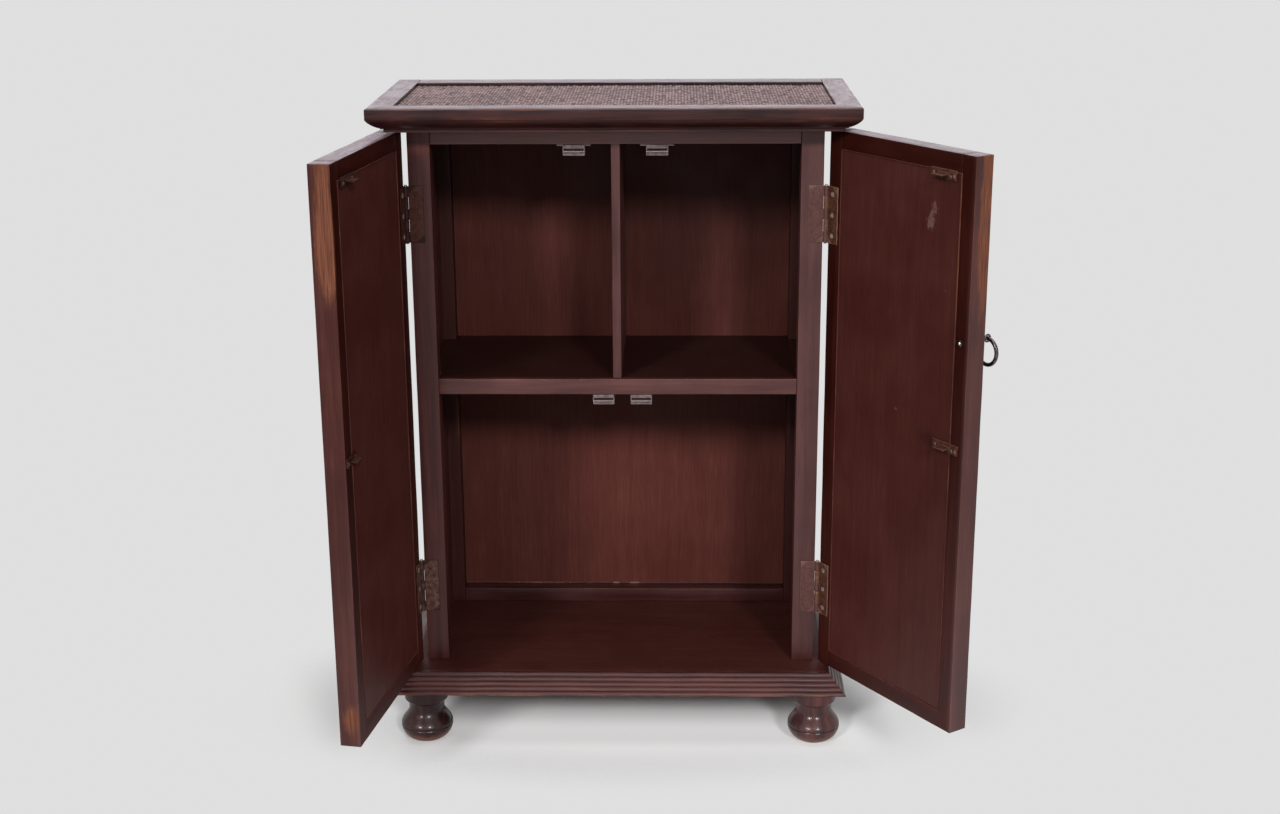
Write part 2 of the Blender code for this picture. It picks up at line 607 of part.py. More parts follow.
def build_catches():
    """Four spring catches: two under the top rail, two under the shelf."""
    places = (("catch_upper_left", -UPPER_CATCH_X, RAIL_Z), ("catch_upper_right", UPPER_CATCH_X, RAIL_Z),
              ("catch_lower_left", -LOWER_LEFT_CATCH_X, SHELF_Z),
              ("catch_lower_right", LOWER_RIGHT_CATCH_X, SHELF_Z))
    near = FRONT + CATCH_SETBACK
    for name, x, roof in places:
        top = roof - GAP
        catch = block(name, (x - CATCH_WIDE / 2, near, top - CATCH_HIGH),
                      (x + CATCH_WIDE / 2, near + CATCH_DEEP, top), STEEL)
        ears = CATCH_EARS / 2
        if "lower" in name:
            ears = CATCH_WIDE / 2 - EAR_THICK / 2
        add(catch, (x - ears, near + EAR_THICK, top - EAR_THICK), (x + ears, near + CATCH_DEEP - EAR_THICK, top))
        slot = top - SLOT_DROP
        cut(catch, (x - SLOT_WIDE / 2, near - CATCH_SETBACK, slot - SLOT_HIGH / 2),
            (x + SLOT_WIDE / 2, near + SLOT_DEEP, slot + SLOT_HIGH / 2))


def hinge_leaf(name, on_door):
    """One leaf of a right-hand hinge about its pin at the origin, as a finished mesh."""
    half = HINGE_HIGH / 2
    outer = PIN_Y - FRONT
    if on_door:
        near, far = -DOOR_FACE + GAP, -DOOR_FACE + GAP + LEAF_THICK
    else:
        near, far = -outer - GAP - LEAF_THICK, -outer - GAP
    leaf = block(name, (-PIN_OFFSET - LEAF_WIDE, near, GAP - half),
                 (-(BARREL_RADIUS + PIN_RADIUS) / 2, far, half - GAP), BRASS)
    pitch = HINGE_HIGH / KNUCKLES
    own = [knuckle for knuckle in range(KNUCKLES) if (knuckle % 2 == 1) == on_door]
    for knuckle in set(range(KNUCKLES)) - set(own):
        low = -half + knuckle * pitch
        cut(leaf, (-BARREL_RADIUS - GAP, -BARREL_RADIUS, low - GAP), (0.0, BARREL_RADIUS, low + pitch + GAP))
    for knuckle in own:
        low = -half + knuckle * pitch
        barrel = rod(f"{name}_barrel_{knuckle}", BARREL_RADIUS, pitch - GAP, (0.0, 0.0, low + pitch / 2))
        combine(leaf, barrel, "UNION")
    bore = rod(f"{name}_bore", PIN_RADIUS + GAP, 2 * HINGE_HIGH, (0.0, 0.0, 0.0))
    combine(leaf, bore, "DIFFERENCE")
    bpy.context.view_layer.update()
    evaluated = leaf.evaluated_get(bpy.context.evaluated_depsgraph_get())
    mesh = bpy.data.meshes.new_from_object(evaluated)
    mesh.transform(leaf.matrix_world)
    for item in [leaf] + [m.object for m in leaf.modifiers if m.object]:
        bpy.data.objects.remove(item, do_unlink=True)
    return mesh


def place_leaf(name, mesh, centre, sign, parent=None):
    """One leaf in place: the left hinges are the right ones turned over."""
    item = bpy.data.objects.new(name, mesh.copy())
    bpy.context.scene.collection.objects.link(item)
    item.location = centre
    item.rotation_euler = (0.0, 0.0 if sign > 0 else math.pi, 0.0)
    return settle(item, name, BRASS, parent)


def build_hinges(doors):
    """Four butt hinges, each of two leaves and a pin with a small tip at each end."""
    post_leaf, door_leaf = hinge_leaf("leaf_on_post", False), hinge_leaf("leaf_on_door", True)
    half = HINGE_HIGH / 2
    profile = [(0.0, half + 0.0016), (0.0018, half + 0.0014), (PIN_TIP, half + GAP), (PIN_RADIUS, half + GAP),
               (PIN_RADIUS, -half - GAP), (PIN_TIP, -half - GAP), (0.0018, -half - 0.0014), (0.0, -half - 0.0016)]
    for name, sign in SIDES:
        for row, z in (("upper", UPPER_HINGE_Z), ("lower", LOWER_HINGE_Z)):
            centre = (sign * PIN_X, PIN_Y, z)
            place_leaf(f"hinge_{row}_{name}_post_leaf", post_leaf, centre, sign)
            place_leaf(f"hinge_{row}_{name}_door_leaf", door_leaf, (0.0, 0.0, z), sign, doors[name])
            turned(f"hinge_{row}_{name}_pin", profile, HINGE_STEPS, BRASS, centre)


def door_span(sign, near, far):
    """X of a stretch along a closed door, from its pins towards the meeting edge."""
    return span(-sign, near, far)


def depth(near, far):
    """Y of a stretch through a closed door, both measured outward from its inner face."""
    return -DOOR_FACE - far, -DOOR_FACE - near


def build_door(name, sign, axis):
    """Stiles, rails and panel of one door, drawn closed about its pins."""
    low_z, high_z = DOOR_Z, DOOR_TOP
    inner_low, inner_high = low_z + STILE_WIDE, high_z - STILE_WIDE
    outer_y, inner_y = depth(0.0, DOOR_THICK)
    groove = depth(GROOVE_SET - GAP, GROOVE_SET + DOOR_PANEL_EDGE + GAP)
    tenon_set = GROOVE_SET + (DOOR_PANEL_EDGE - DOOR_TENON_THICK) / 2
    tenon = depth(tenon_set, tenon_set + DOOR_TENON_THICK)
    mortise = depth(tenon_set - GAP, tenon_set + DOOR_TENON_THICK + GAP)
    hinge_in, lock_in = DOOR_EDGE + STILE_WIDE, DOOR_FREE - STILE_WIDE
    groove_deep = DOOR_PANEL_TONGUE + GAP

    stiles = (("hinge_stile", DOOR_EDGE, hinge_in, hinge_in - groove_deep, hinge_in + groove_deep,
               hinge_in - DOOR_TENON_LONG - GAP, hinge_in + DOOR_TENON_LONG),
              ("lock_stile", lock_in, DOOR_FREE, lock_in - groove_deep, lock_in + groove_deep,
               lock_in - DOOR_TENON_LONG, lock_in + DOOR_TENON_LONG + GAP))
    for part, near, far, groove_near, groove_far, mortise_near, mortise_far in stiles:
        low, high = door_span(sign, near, far)
        look = WORN_WOOD if part == "lock_stile" else WOOD
        stile = block(f"{name}_door_{part}", (low, outer_y, low_z), (high, inner_y, high_z), look, axis, EASE)
        low, high = door_span(sign, groove_near, groove_far)
        cut(stile, (low, groove[0], inner_low - groove_deep), (high, groove[1], inner_high + groove_deep))
        low, high = door_span(sign, mortise_near, mortise_far)
        for foot, head in ((low_z, inner_low), (inner_high, high_z)):
            cut(stile, (low, mortise[0], foot + DOOR_SHOULDER - GAP), (high, mortise[1], head - DOOR_SHOULDER + GAP))
        if part == "lock_stile" and name == "right":
            hole = rod("pull_hole", BOLT + GAP, 4 * DOOR_THICK, (-sign * (DOOR_FREE - PULL_FROM_EDGE), 0.0, PULL_Z),
                       (math.pi / 2, 0.0, 0.0), parent=axis)
            combine(stile, hole, "DIFFERENCE")

    for part, foot, head in (("bottom_rail", low_z, inner_low), ("top_rail", inner_high, high_z)):
        low, high = door_span(sign, hinge_in + GAP, lock_in - GAP)
        rail = block(f"{name}_door_{part}", (low, outer_y, foot), (high, inner_y, head), WOOD, axis, EASE)
        low, high = door_span(sign, hinge_in - DOOR_TENON_LONG, lock_in + DOOR_TENON_LONG)
        add(rail, (low, tenon[0], foot + DOOR_SHOULDER), (high, tenon[1], head - DOOR_SHOULDER))
        low, high = door_span(sign, hinge_in - 2 * groove_deep, lock_in + 2 * groove_deep)
        edge = head if part == "bottom_rail" else foot
        cut(rail, (low, groove[0], edge - groove_deep), (high, groove[1], edge + groove_deep))

    core = depth(PANEL_SINK, DOOR_THICK - PANEL_OUT_SINK)
    low, high = door_span(sign, hinge_in + PANEL_LINE, lock_in - PANEL_LINE)
    panel = block(f"{name}_door_panel", (low, core[0], inner_low + PANEL_LINE),
                  (high, core[1], inner_high - PANEL_LINE), INNER_WOOD, axis)
    edge_y = depth(GROOVE_SET, GROOVE_SET + DOOR_PANEL_EDGE)
    low, high = door_span(sign, hinge_in - DOOR_PANEL_TONGUE, lock_in + DOOR_PANEL_TONGUE)
    add(panel, (low, edge_y[0], inner_low - DOOR_PANEL_TONGUE), (high, edge_y[1], inner_high + DOOR_PANEL_TONGUE))


def build_strikes(name, sign, axis):
    """Two strikes on a door's inner face, each with a tongue that enters a catch."""
    lower_x = LOWER_LEFT_CATCH_X if sign < 0 else LOWER_RIGHT_CATCH_X
    for row, catch_x, z in (("upper", UPPER_CATCH_X, SLOT_Z_UNDER_RAIL), ("lower", lower_x, SLOT_Z_UNDER_SHELF)):
        middle = PIN_X - catch_x
        face = depth(-GAP - STRIKE_THICK, -GAP)
        half = min(STRIKE_WIDE / 2, DOOR_FREE - middle - EASE)
        low, high = door_span(sign, middle - half, middle + half)
        plate = block(f"{name}_door_strike_{row}", (low, face[0], z - STRIKE_HIGH / 2),
                      (high, face[1], z + STRIKE_HIGH / 2), STEEL, axis)
        low, high = door_span(sign, middle - TONGUE_WIDE / 2, middle + TONGUE_WIDE / 2)
        reach = depth(-TONGUE_REACH, -GAP - STRIKE_THICK / 2)
        add(plate, (low, reach[0], z - TONGUE_THICK / 2), (high, reach[1], z + TONGUE_THICK / 2))


def build_pull(axis):
    """Ring pull on the right door: a bolt through the lock stile, and the ring hanging in its eye."""
    face = DOOR_THICK
    eye = face + PULL_REACH
    profile = [(0.0, eye + HEAD + 0.0006), (0.0032, eye + HEAD - 0.0004), (HEAD, eye + 0.0028), (HEAD, eye - 0.0028),
               (0.0036, eye - HEAD + 0.0004), (0.0027, eye - HEAD - 0.0016), (0.0027, face + ROSE_THICK + 0.0010),
               (ROSE - 0.0012, face + ROSE_THICK + GAP), (ROSE, face + ROSE_THICK / 2), (ROSE, face + GAP),
               (BOLT, face + GAP), (BOLT, -GAP), (NUT, -GAP), (NUT, -NUT_THICK), (BOLT, -NUT_THICK - 0.0008),
               (0.0, -NUT_THICK - 0.0008)]
    x = -(DOOR_FREE - PULL_FROM_EDGE)
    square = (math.pi / 2, 0.0, 0.0)
    bolt = turned("ring_pull_bolt", profile, 16, STEEL, (x, -DOOR_FACE, PULL_Z), square, axis)
    hole = rod("ring_eye", EYE, 4 * HEAD, (x, -DOOR_FACE - eye, PULL_Z), (math.pi / 2, 0.0, math.pi / 2),
               parent=axis, sides=14)
    combine(bolt, hole, "DIFFERENCE")

    swing = bpy.data.objects.new("ring_pull_axis", None)
    cabinet.objects.link(swing)
    swing.parent = axis
    swing.location = (x, -DOOR_FACE - eye, PULL_Z)
    bpy.ops.mesh.primitive_torus_add(major_radius=RING_RADIUS, minor_radius=RING_WIRE, major_segments=32,
                                     minor_segments=10, location=(0.0, 0.0, -RING_RADIUS), rotation=square)
    ring = settle(bpy.context.object, "ring_pull_ring", STEEL, swing)
    ring.data.shade_smooth()


def set_origin():
    """Move the whole cabinet so that the front left foot's base has its middle at the origin."""
    front_row, _ = foot_rows()
    for item in [*cabinet.objects, *cutters.objects]:
        if item.parent is None:
            item.location += Vector((FOOT_X, -front_row, FOOT_HIGH))


def build():
    """Build the whole cabinet."""
    clear_scene()
    build_base()
    build_feet()
    build_posts()
    build_rails()
    build_panels()
    build_inside()
    build_top()
    build_catches()
    doors = {}
    for (name, sign), angle in zip(SIDES, (-LEFT_OPEN, RIGHT_OPEN)):
        axis = bpy.data.objects.new(f"{name}_door_axis", None)
        cabinet.objects.link(axis)
        axis.location = (sign * PIN_X, PIN_Y, 0.0)
        axis.rotation_euler = (0.0, 0.0, angle)
        build_door(name, sign, axis)
        build_strikes(name, sign, axis)
        doors[name] = axis
    build_pull(doors["right"])
    build_hinges(doors)
    set_origin()
    bpy.context.view_layer.update()


build()
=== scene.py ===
"""Looks of a two-door cabinet: dark varnished wood, a reeded base, turned feet and a caned top.

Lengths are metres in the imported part's own frame. The origin is under the front left foot, +Z is up
and the doors open towards -Y. Sizes of whole pieces are read from the frame, and a class's fields
hold the sizes of what it adds. A door's pieces are drawn closed about the door's pins, then turned.
"""

import json
import logging
import math
from dataclasses import dataclass, field, replace
from enum import Enum
from functools import cache

import bmesh
import bpy
import numpy as np
from mathutils import Matrix, Vector


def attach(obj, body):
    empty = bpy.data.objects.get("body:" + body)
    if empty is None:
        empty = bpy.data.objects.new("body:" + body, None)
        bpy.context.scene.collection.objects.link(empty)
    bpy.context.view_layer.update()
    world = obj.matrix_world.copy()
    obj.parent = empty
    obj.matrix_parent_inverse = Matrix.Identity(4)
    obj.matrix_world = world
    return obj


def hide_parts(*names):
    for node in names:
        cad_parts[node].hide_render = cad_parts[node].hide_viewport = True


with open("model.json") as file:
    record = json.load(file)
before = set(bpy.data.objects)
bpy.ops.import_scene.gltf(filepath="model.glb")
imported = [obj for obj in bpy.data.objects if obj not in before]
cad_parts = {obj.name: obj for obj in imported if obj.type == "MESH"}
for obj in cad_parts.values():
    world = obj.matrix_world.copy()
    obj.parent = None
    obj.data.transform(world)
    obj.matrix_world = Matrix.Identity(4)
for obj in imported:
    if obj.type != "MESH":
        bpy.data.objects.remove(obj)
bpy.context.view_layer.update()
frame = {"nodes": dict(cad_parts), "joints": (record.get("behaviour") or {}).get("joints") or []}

Array = np.ndarray
Colour = tuple[float, float, float]
Triple = tuple[float, float, float]
Pair = tuple[float, float]
Span = tuple[Array, Array]
Socket = bpy.types.NodeSocket

MIDDLE = 0.273              # middle of the case, to the right of the origin
EASE = 0.45                 # where the middle point of a rounding lies, over its radius
WIDEST_ROUNDING = 0.45      # largest radius of a rounding, over the board's thinnest side
SWELLS = (0.11, 0.035)      # wavelengths of a board's unevenness
SHARP_BEND = 400.0          # radians to the metre from which a bend of an outline is sharp
DARK_HOLLOW_REACH = 0.0008        # how far the darkening reaches from an inward bend
LEAST_BEND = 35.0           # degrees; smaller bends of an outline aren't rounded
SIDE_SHARE = 0.4            # most of a side that a rounding takes up
# Grey of old polish, also laid on as painted sheen that stands for mirrored light.
POLISH_HAZE_AND_SHEEN: Colour = (0.22, 0.165, 0.170)
# Dark colour of hollows: grime in quirks, and painted shade under the cornice.
GRIME_AND_SHADE: Colour = (0.004, 0.001, 0.001)
SCUFF: Colour = (0.30, 0.17, 0.14)
LILAC: Colour = (0.90, 0.66, 0.82)

log = logging.getLogger("cabinet")


class Axis(Enum):
    """A direction of a piece's own frame, such as the one that its grain follows."""

    X = 0
    Y = 1
    Z = 2


class Side(Enum):
    """The left or right of the cabinet, seen from the front."""

    LEFT = "left"
    RIGHT = "right"

    @property
    def sign(self) -> int:
        """-1 on the left and 1 on the right."""
        return -1 if self is Side.LEFT else 1


class Mark(Enum):
    """What a finish reads at each point of a surface, with the value that a plain point has."""

    ARRIS = ("arris", 1.0)      # distance to the nearest outward edge
    HOLLOW = ("hollow", 0.0)    # 1 in the bottom of a quirk, and in the painted shade line under the cornice
    WORN = ("worn", 0.0)        # 1 where hands have rubbed the varnish
    DUST = ("dust", 0.0)        # 1 under a pale scuff
    HAZE = ("haze", 0.0)        # share of a grey haze: old polish, and painted sheen that stands for mirrored light
    TONE = ("tone", 0.0)        # how much lighter the colour is, or darker where it is below 0
    STRAND = ("strand", 0.0)    # height in a weave

    @property
    def label(self) -> str:
        """Name of the mesh attribute."""
        return self.value[0]

    @property
    def plain(self) -> float:
        """Value where nothing sets it."""
        return self.value[1]


@dataclass(frozen=True)
class Place:
    """Where a piece's own frame lies: its origin, and its axes as the columns of a matrix."""

    origin: Array
    axes: Array

    @classmethod
    def upright(cls, origin: Triple, angle: float = 0.0) -> "Place":
        """Frame turned about Z by an angle in radians."""
        c, s = math.cos(angle), math.sin(angle)
        return cls(np.array(origin, float), np.array([[c, -s, 0.0], [s, c, 0.0], [0.0, 0.0, 1.0]]))

    @classmethod
    def facing(cls, origin: Array, normal: Triple) -> "Place":
        """Frame whose own Z points along a level normal and whose own Y points up."""
        out, up = np.array(normal, float), np.array(UP)
        return cls(np.array(origin, float), np.stack([np.cross(up, out), up, out], axis=1))

    def outward(self, points: Array) -> Array:
        """Points of this frame as points of the whole part."""
        return points @ self.axes.T + self.origin

    def inward(self, points: Array) -> Array:
        """Points of the whole part as points of this frame."""
        return (points - self.origin) @ self.axes

    def within(self, outer: "Place") -> "Place":
        """This frame, given in another one, as a frame of the whole part."""
        return Place(outer.outward(self.origin[None])[0], outer.axes @ self.axes)


WHOLE = Place.upright((0.0, 0.0, 0.0))
UP = (0.0, 0.0, 1.0)


@dataclass(frozen=True)
class Patch:
    """A soft-edged spot on a surface: it fades as a bell curve from its middle."""

    centre: Triple
    reach: Triple
    strength: float
    mark: Mark = Mark.WORN

    def value(self, points: Array) -> Array:
        """Strength of the spot at each point, in the frame that the points are in."""
        away = (points - np.array(self.centre)) / np.array(self.reach)
        return self.strength * np.exp(-(away ** 2).sum(axis=1))


@dataclass
class Skin:
    """Points and faces of a surface, and what its finish reads at each point."""

    points: Array
    faces: list[list[int]]
    grain: Array
    marks: dict[Mark, Array] = field(default_factory=dict)

    def mark(self, kind: Mark) -> Array:
        """Values of one mark, plain where the surface has none."""
        return self.marks.get(kind, np.full(len(self.points), kind.plain))

    def placed(self, place: Place) -> "Skin":
        """The same surface in the frame of the whole part."""
        return replace(self, points=place.outward(self.points))

    def patched(self, patches: tuple[Patch, ...]) -> "Skin":
        """Add soft spots to the surface.

        Args:
            patches: the spots, in the frame that the points are in.

        Returns:
            The surface with its marks raised under each spot.
        """
        marks = dict(self.marks)
        for patch in patches:
            base = marks.get(patch.mark, np.zeros(len(self.points)))
            marks[patch.mark] = base + patch.value(self.points)
        return replace(self, marks=marks)


def joined(skins: list[Skin]) -> Skin:
    """Several surfaces as one, each with its own points.

    Args:
        skins: the surfaces.

    Returns:
        One surface that holds them all.
    """
    starts = np.cumsum([0] + [len(skin.points) for skin in skins[:-1]])
    faces = [[int(start) + corner for corner in face]
             for start, skin in zip(starts, skins) for face in skin.faces]
    marks = {kind: np.concatenate([skin.mark(kind) for skin in skins])
             for kind in Mark if any(kind in skin.marks for skin in skins)}
    return Skin(np.concatenate([skin.points for skin in skins]), faces,
                np.concatenate([skin.grain for skin in skins]), marks)


def unit(vectors: Array) -> Array:
    """The vectors, each of length one."""
    return vectors / np.maximum(np.linalg.norm(vectors, axis=-1, keepdims=True), 1e-12)


def ripple(points: Array, wavelength: float, seed: int) -> Array:
    """Smooth unevenness: the sum of eight sine waves that run in random directions.

    Args:
        points: where to read it.
        wavelength: about how far apart its swells are.
        seed: number that picks the waves.

    Returns:
        A value of about -1 to 1 at each point.
    """
    random = np.random.default_rng(seed)
    directions = unit(random.normal(size=(8, 3)))
    pace = 2 * math.pi / (wavelength * random.uniform(0.7, 1.5, (8, 1)))
    phase = random.uniform(0.0, 2 * math.pi, 8)
    return np.sin(points @ (directions * pace).T + phase).sum(axis=1) / 4


def grain_start(seed: int) -> Array:
    """Where in the log a piece was cut: a random shift of its grain."""
    return np.random.default_rng(seed).uniform(-3.0, 3.0, 3)


def grid_faces(rows: int, columns: int, wrap_rows: bool = False,
               wrap_columns: bool = False) -> list[list[int]]:
    """Four-cornered faces of a grid whose points are numbered row by row.

    Args:
        rows: number of rows of points.
        columns: number of points in a row.
        wrap_rows: join the last row to the first.
        wrap_columns: join the ends of each row.

    Returns:
        The corners of each face.
    """
    row, column = np.meshgrid(np.arange(rows if wrap_rows else rows - 1),
                              np.arange(columns if wrap_columns else columns - 1), indexing="ij")
    next_row, next_column = (row + 1) % rows, (column + 1) % columns
    corners = [row * columns + column, next_row * columns + column,
               next_row * columns + next_column, row * columns + next_column]
    return np.stack(corners, axis=-1).reshape(-1, 4).tolist()


def lattice(stations: tuple[Array, Array, Array]) -> tuple[Array, list[list[int]]]:
    """Outer shell of a box-shaped lattice, as the points on its six sides.

    Args:
        stations: where the lattice's planes lie along X, Y and Z.

    Returns:
        The points and the faces of the shell.
    """
    counts = [len(line) for line in stations]
    numbers = np.arange(np.prod(counts)).reshape(counts)
    quads = []
    for axis in range(3):
        for end in (0, -1):
            wall = np.take(numbers, end, axis=axis)
            corners = [wall[:-1, :-1], wall[1:, :-1], wall[1:, 1:], wall[:-1, 1:]]
            quads.append(np.stack(corners, axis=-1).reshape(-1, 4))
    used, faces = np.unique(np.concatenate(quads), return_inverse=True)
    cloud = np.stack(np.meshgrid(*stations, indexing="ij"), axis=-1).reshape(-1, 3)
    return cloud[used], faces.reshape(-1, 4).tolist()


def stations(low: float, high: float, radius: float, step: float) -> Array:
    """Where a board's points lie along one direction: close together at its rounded ends.

    Args:
        low: one end.
        high: the other end.
        radius: how far the rounding reaches.
        step: spacing in between.

    Returns:
        The places in rising order.
    """
    count = max(2, int((high - low - 2 * radius) / step) + 2)
    middle = np.linspace(low + radius, high - radius, count)
    ease = EASE * radius
    return np.concatenate([[low, low + ease], middle, [high - ease, high]])


def slab(low: Array, high: Array, along: Axis, radius: float, step: float = 0.012, seed: int = 0,
         unevenness: float = 0.0) -> Skin:
    """A board with rounded arrises.

    A point p of the plain box goes to c + r n, where c is p held within the box shrunk by the
    radius r, and n is the direction from c to p. The faces then swell by a few sine waves.

    Args:
        low: lowest corner.
        high: highest corner.
        along: which way the grain runs.
        radius: radius of the arrises.
        step: spacing of the points.
        seed: number that picks the grain and the unevenness.
        unevenness: how far the faces swell.

    Returns:
        The board's surface.
    """
    low, high = np.array(low, float), np.array(high, float)
    radius = min(radius, WIDEST_ROUNDING * float((high - low).min()))
    points, faces = lattice(tuple(stations(low[i], high[i], radius, step) for i in range(3)))
    nearest = np.sort(np.minimum(points - low, high - points), axis=1)
    core = np.clip(points, low + radius, high - radius)
    normal = unit(points - core)
    swell = ripple(points, SWELLS[0], seed) + 0.5 * ripple(points, SWELLS[1], seed + 1)
    inner = np.minimum(unevenness * swell - unevenness, 0.0)
    order = [(along.value + 1) % 3, (along.value + 2) % 3, along.value]
    return Skin(core + normal * (radius + inner)[:, None], faces,
                (points - low)[:, order] + grain_start(seed + 17), {Mark.ARRIS: nearest[:, 1]})


def block(spans: tuple[Pair, ...], along: Axis, radius: float, seed: int = 0,
          step: float = 0.006) -> Skin:
    """A small slab, given by where it starts and ends along X, Y and Z."""
    low, high = np.array(spans, float).T
    return slab(low, high, along, radius, step, seed)


def outline_marks(profile: Array) -> dict[Mark, Array]:
    """Distance along a closed outline to a sharp outward bend, and closeness to an inward one.

    Args:
        profile: points of the outline, counterclockwise.

    Returns:
        The two marks at each point.
    """
    before = profile - np.roll(profile, 1, axis=0)
    after = np.roll(profile, -1, axis=0) - profile
    turned = before[:, 0] * after[:, 1] - before[:, 1] * after[:, 0]
    bend = np.arctan2(turned, (before * after).sum(axis=1))
    length = np.linalg.norm(after, axis=1)
    sharpness = bend / np.maximum((length + np.roll(length, 1)) / 2, 1e-6)
    place = np.concatenate([[0.0], np.cumsum(length)[:-1]])

    def reach(chosen: Array) -> Array:
        """Distance round the outline from each point to a chosen one, or 1 where there is none."""
        gap = np.abs(place[:, None] - place[chosen][None])
        return np.minimum(gap, length.sum() - gap).min(axis=1, initial=1.0)

    hollow = np.clip(1 - reach(sharpness < -SHARP_BEND) / DARK_HOLLOW_REACH, 0.0, 1.0)
    return {Mark.ARRIS: reach(sharpness > SHARP_BEND), Mark.HOLLOW: hollow}


def run(profile: Array, start: float, end: float, flares: Pair, step: float, seed: int,
        unevenness: float) -> Skin:
    """A moulding: its outline stands in X and Z, and is carried along Y.

    A mitred end lies at 45 degrees, so a point that stands out by x ends x further on.

    Args:
        profile: outline as outward and upward distances, counterclockwise.
        start: where it starts, for a point at x = 0.
        end: where it ends, for a point at x = 0.
        flares: 1 at a mitred start or end, and 0 at a square one.
        step: spacing of the outlines.
        seed: number that picks the grain and the unevenness.
        unevenness: how far the surface strays.

    Returns:
        The moulding's surface, closed at both ends.
    """
    count = max(2, int((end - start) / step) + 2)
    share = np.linspace(0.0, 1.0, count)[:, None]
    out, up = profile[None, :, 0], profile[None, :, 1]
    place = (start - flares[0] * out) * (1 - share) + (end + flares[1] * out) * share
    grid = np.stack([out + 0 * place, place, up + 0 * place], axis=-1)
    points = grid.reshape(-1, 3)
    sides = len(profile)
    inner = grid[1:-1].reshape(-1, 3)
    drift = np.stack([ripple(inner, 0.09, seed) - 1, 0 * inner[:, 0],
                      ripple(inner, 0.07, seed + 1) - 1], axis=-1)
    points[sides:-sides] += unevenness * np.minimum(drift, 0.0)
    marks = {kind: np.tile(value, count) for kind, value in outline_marks(profile).items()}
    faces = grid_faces(count, sides, wrap_columns=True)
    faces += [list(range(sides)), list(range(len(points) - sides, len(points)))]
    return Skin(points, faces, points[:, [0, 2, 1]] + grain_start(seed + 29), marks)


@dataclass(frozen=True)
class Strip:
    """One of the three strips of moulding that go round the front and the sides."""

    name: str
    place: Place
    start: float
    end: float
    flares: Pair

    @classmethod
    def round(cls, sides: Pair, front: float, back: float, level: float,
              gap: float = 0.0) -> tuple["Strip", "Strip", "Strip"]:
        """The front, right and left strip, which meet in mitres at the front corners.

        Args:
            sides: where x = 0 of a strip lies on the left and on the right.
            front: where it lies at the front.
            back: where the side strips end.
            level: height of their lower face.
            gap: how far each stops short of a mitre.

        Returns:
            The strips.
        """
        left, right = sides
        ahead = Place.upright((0.0, front, level), -math.pi / 2)
        beside = Place.upright((left, 0.0, level), math.pi)
        return (cls("front", ahead, left + gap, right - gap, (1.0, 1.0)),
                cls("right", Place.upright((right, 0.0, level)), front + gap, back, (1.0, 0.0)),
                cls("left", beside, -back, -front - gap, (0.0, 1.0)))


def turning(profile: Array, steps: int, seed: int = 0) -> Skin:
    """A turned piece: each point (r, z) of the profile goes round the Z axis.

    Args:
        profile: radius and height, from one end to the other.
        steps: points in a ring.
        seed: number that picks the grain.

    Returns:
        The surface, closed at both ends.
    """
    angle = np.linspace(0.0, 2 * math.pi, steps, endpoint=False)[None]
    radius, height = profile[:, 0, None], profile[:, 1, None]
    points = np.stack([radius * np.cos(angle), radius * np.sin(angle), height + 0 * angle], axis=-1)
    points = points.reshape(-1, 3)
    faces = grid_faces(len(profile), steps, wrap_columns=True)
    faces += [list(range(steps)), list(range(len(points) - steps, len(points)))]
    return Skin(points, faces, points + grain_start(seed + 41))


def hoop(major: float, minor: float, steps: int = 72, sides: int = 20) -> Skin:
    """A ring of round wire about Y: a circle of radius minor goes round a circle of radius major.

    Args:
        major: radius of the ring's middle line.
        minor: radius of the wire.
        steps: points round the ring.
        sides: points round the wire.

    Returns:
        The closed surface.
    """
    turn = np.linspace(0.0, 2 * math.pi, steps, endpoint=False)[:, None]
    wire = np.linspace(0.0, 2 * math.pi, sides, endpoint=False)[None]
    radius = major + minor * np.cos(wire)
    points = np.stack([radius * np.cos(turn), minor * np.sin(wire) + 0 * turn,
                       radius * np.sin(turn)], axis=-1).reshape(-1, 3)
    return Skin(points, grid_faces(steps, sides, True, True), points.copy())


def quarter(centre: Pair, size: Pair, start: float, end: float, count: int = 8) -> Array:
    """Points of an elliptical arc: centre + (a cos t, b sin t), with t in quarter turns."""
    turn = np.linspace(start, end, count)[:, None] * math.pi / 2
    return np.array(centre) + np.array(size) * np.concatenate([np.cos(turn), np.sin(turn)], axis=1)


def finer(profile: Array, times: int) -> Array:
    """More points of a profile, on the straight lines between its own.

    Args:
        profile: the profile.
        times: how many points it gets for each one.

    Returns:
        The finer profile.
    """
    count = len(profile)
    place = np.linspace(0, count - 1, times * count)
    return np.stack([np.interp(place, np.arange(count), part) for part in profile.T], axis=-1)


def softened(corners: Array, radius: float, count: int = 3) -> Array:
    """Round every bend of a closed outline of more than 35 degrees.

    Each corner q gives way to a curve (1-t)^2 a + 2t(1-t) q + t^2 b between the points a and b,
    which lie at the radius from q on its two sides, or at 0.4 of a shorter side.

    Args:
        corners: points of the outline.
        radius: how far the rounding reaches.
        count: points on each side of a rounded corner's middle.

    Returns:
        The outline with its corners rounded.
    """
    before = np.roll(corners, 1, axis=0) - corners
    after = np.roll(corners, -1, axis=0) - corners
    back, ahead = np.linalg.norm(before, axis=1), np.linalg.norm(after, axis=1)
    bend = np.arccos(np.clip(-(unit(before) * unit(after)).sum(axis=1), -1.0, 1.0))
    first = corners + unit(before) * np.minimum(radius, SIDE_SHARE * back)[:, None]
    last = corners + unit(after) * np.minimum(radius, SIDE_SHARE * ahead)[:, None]
    share = np.linspace(0.0, 1.0, 2 * count)[:, None]
    pieces = []
    for corner, a, b, turn in zip(corners, first, last, bend):
        curve = (1 - share) ** 2 * a + 2 * share * (1 - share) * corner + share ** 2 * b
        pieces.append(curve if turn > math.radians(LEAST_BEND) else corner[None])
    return np.concatenate(pieces)


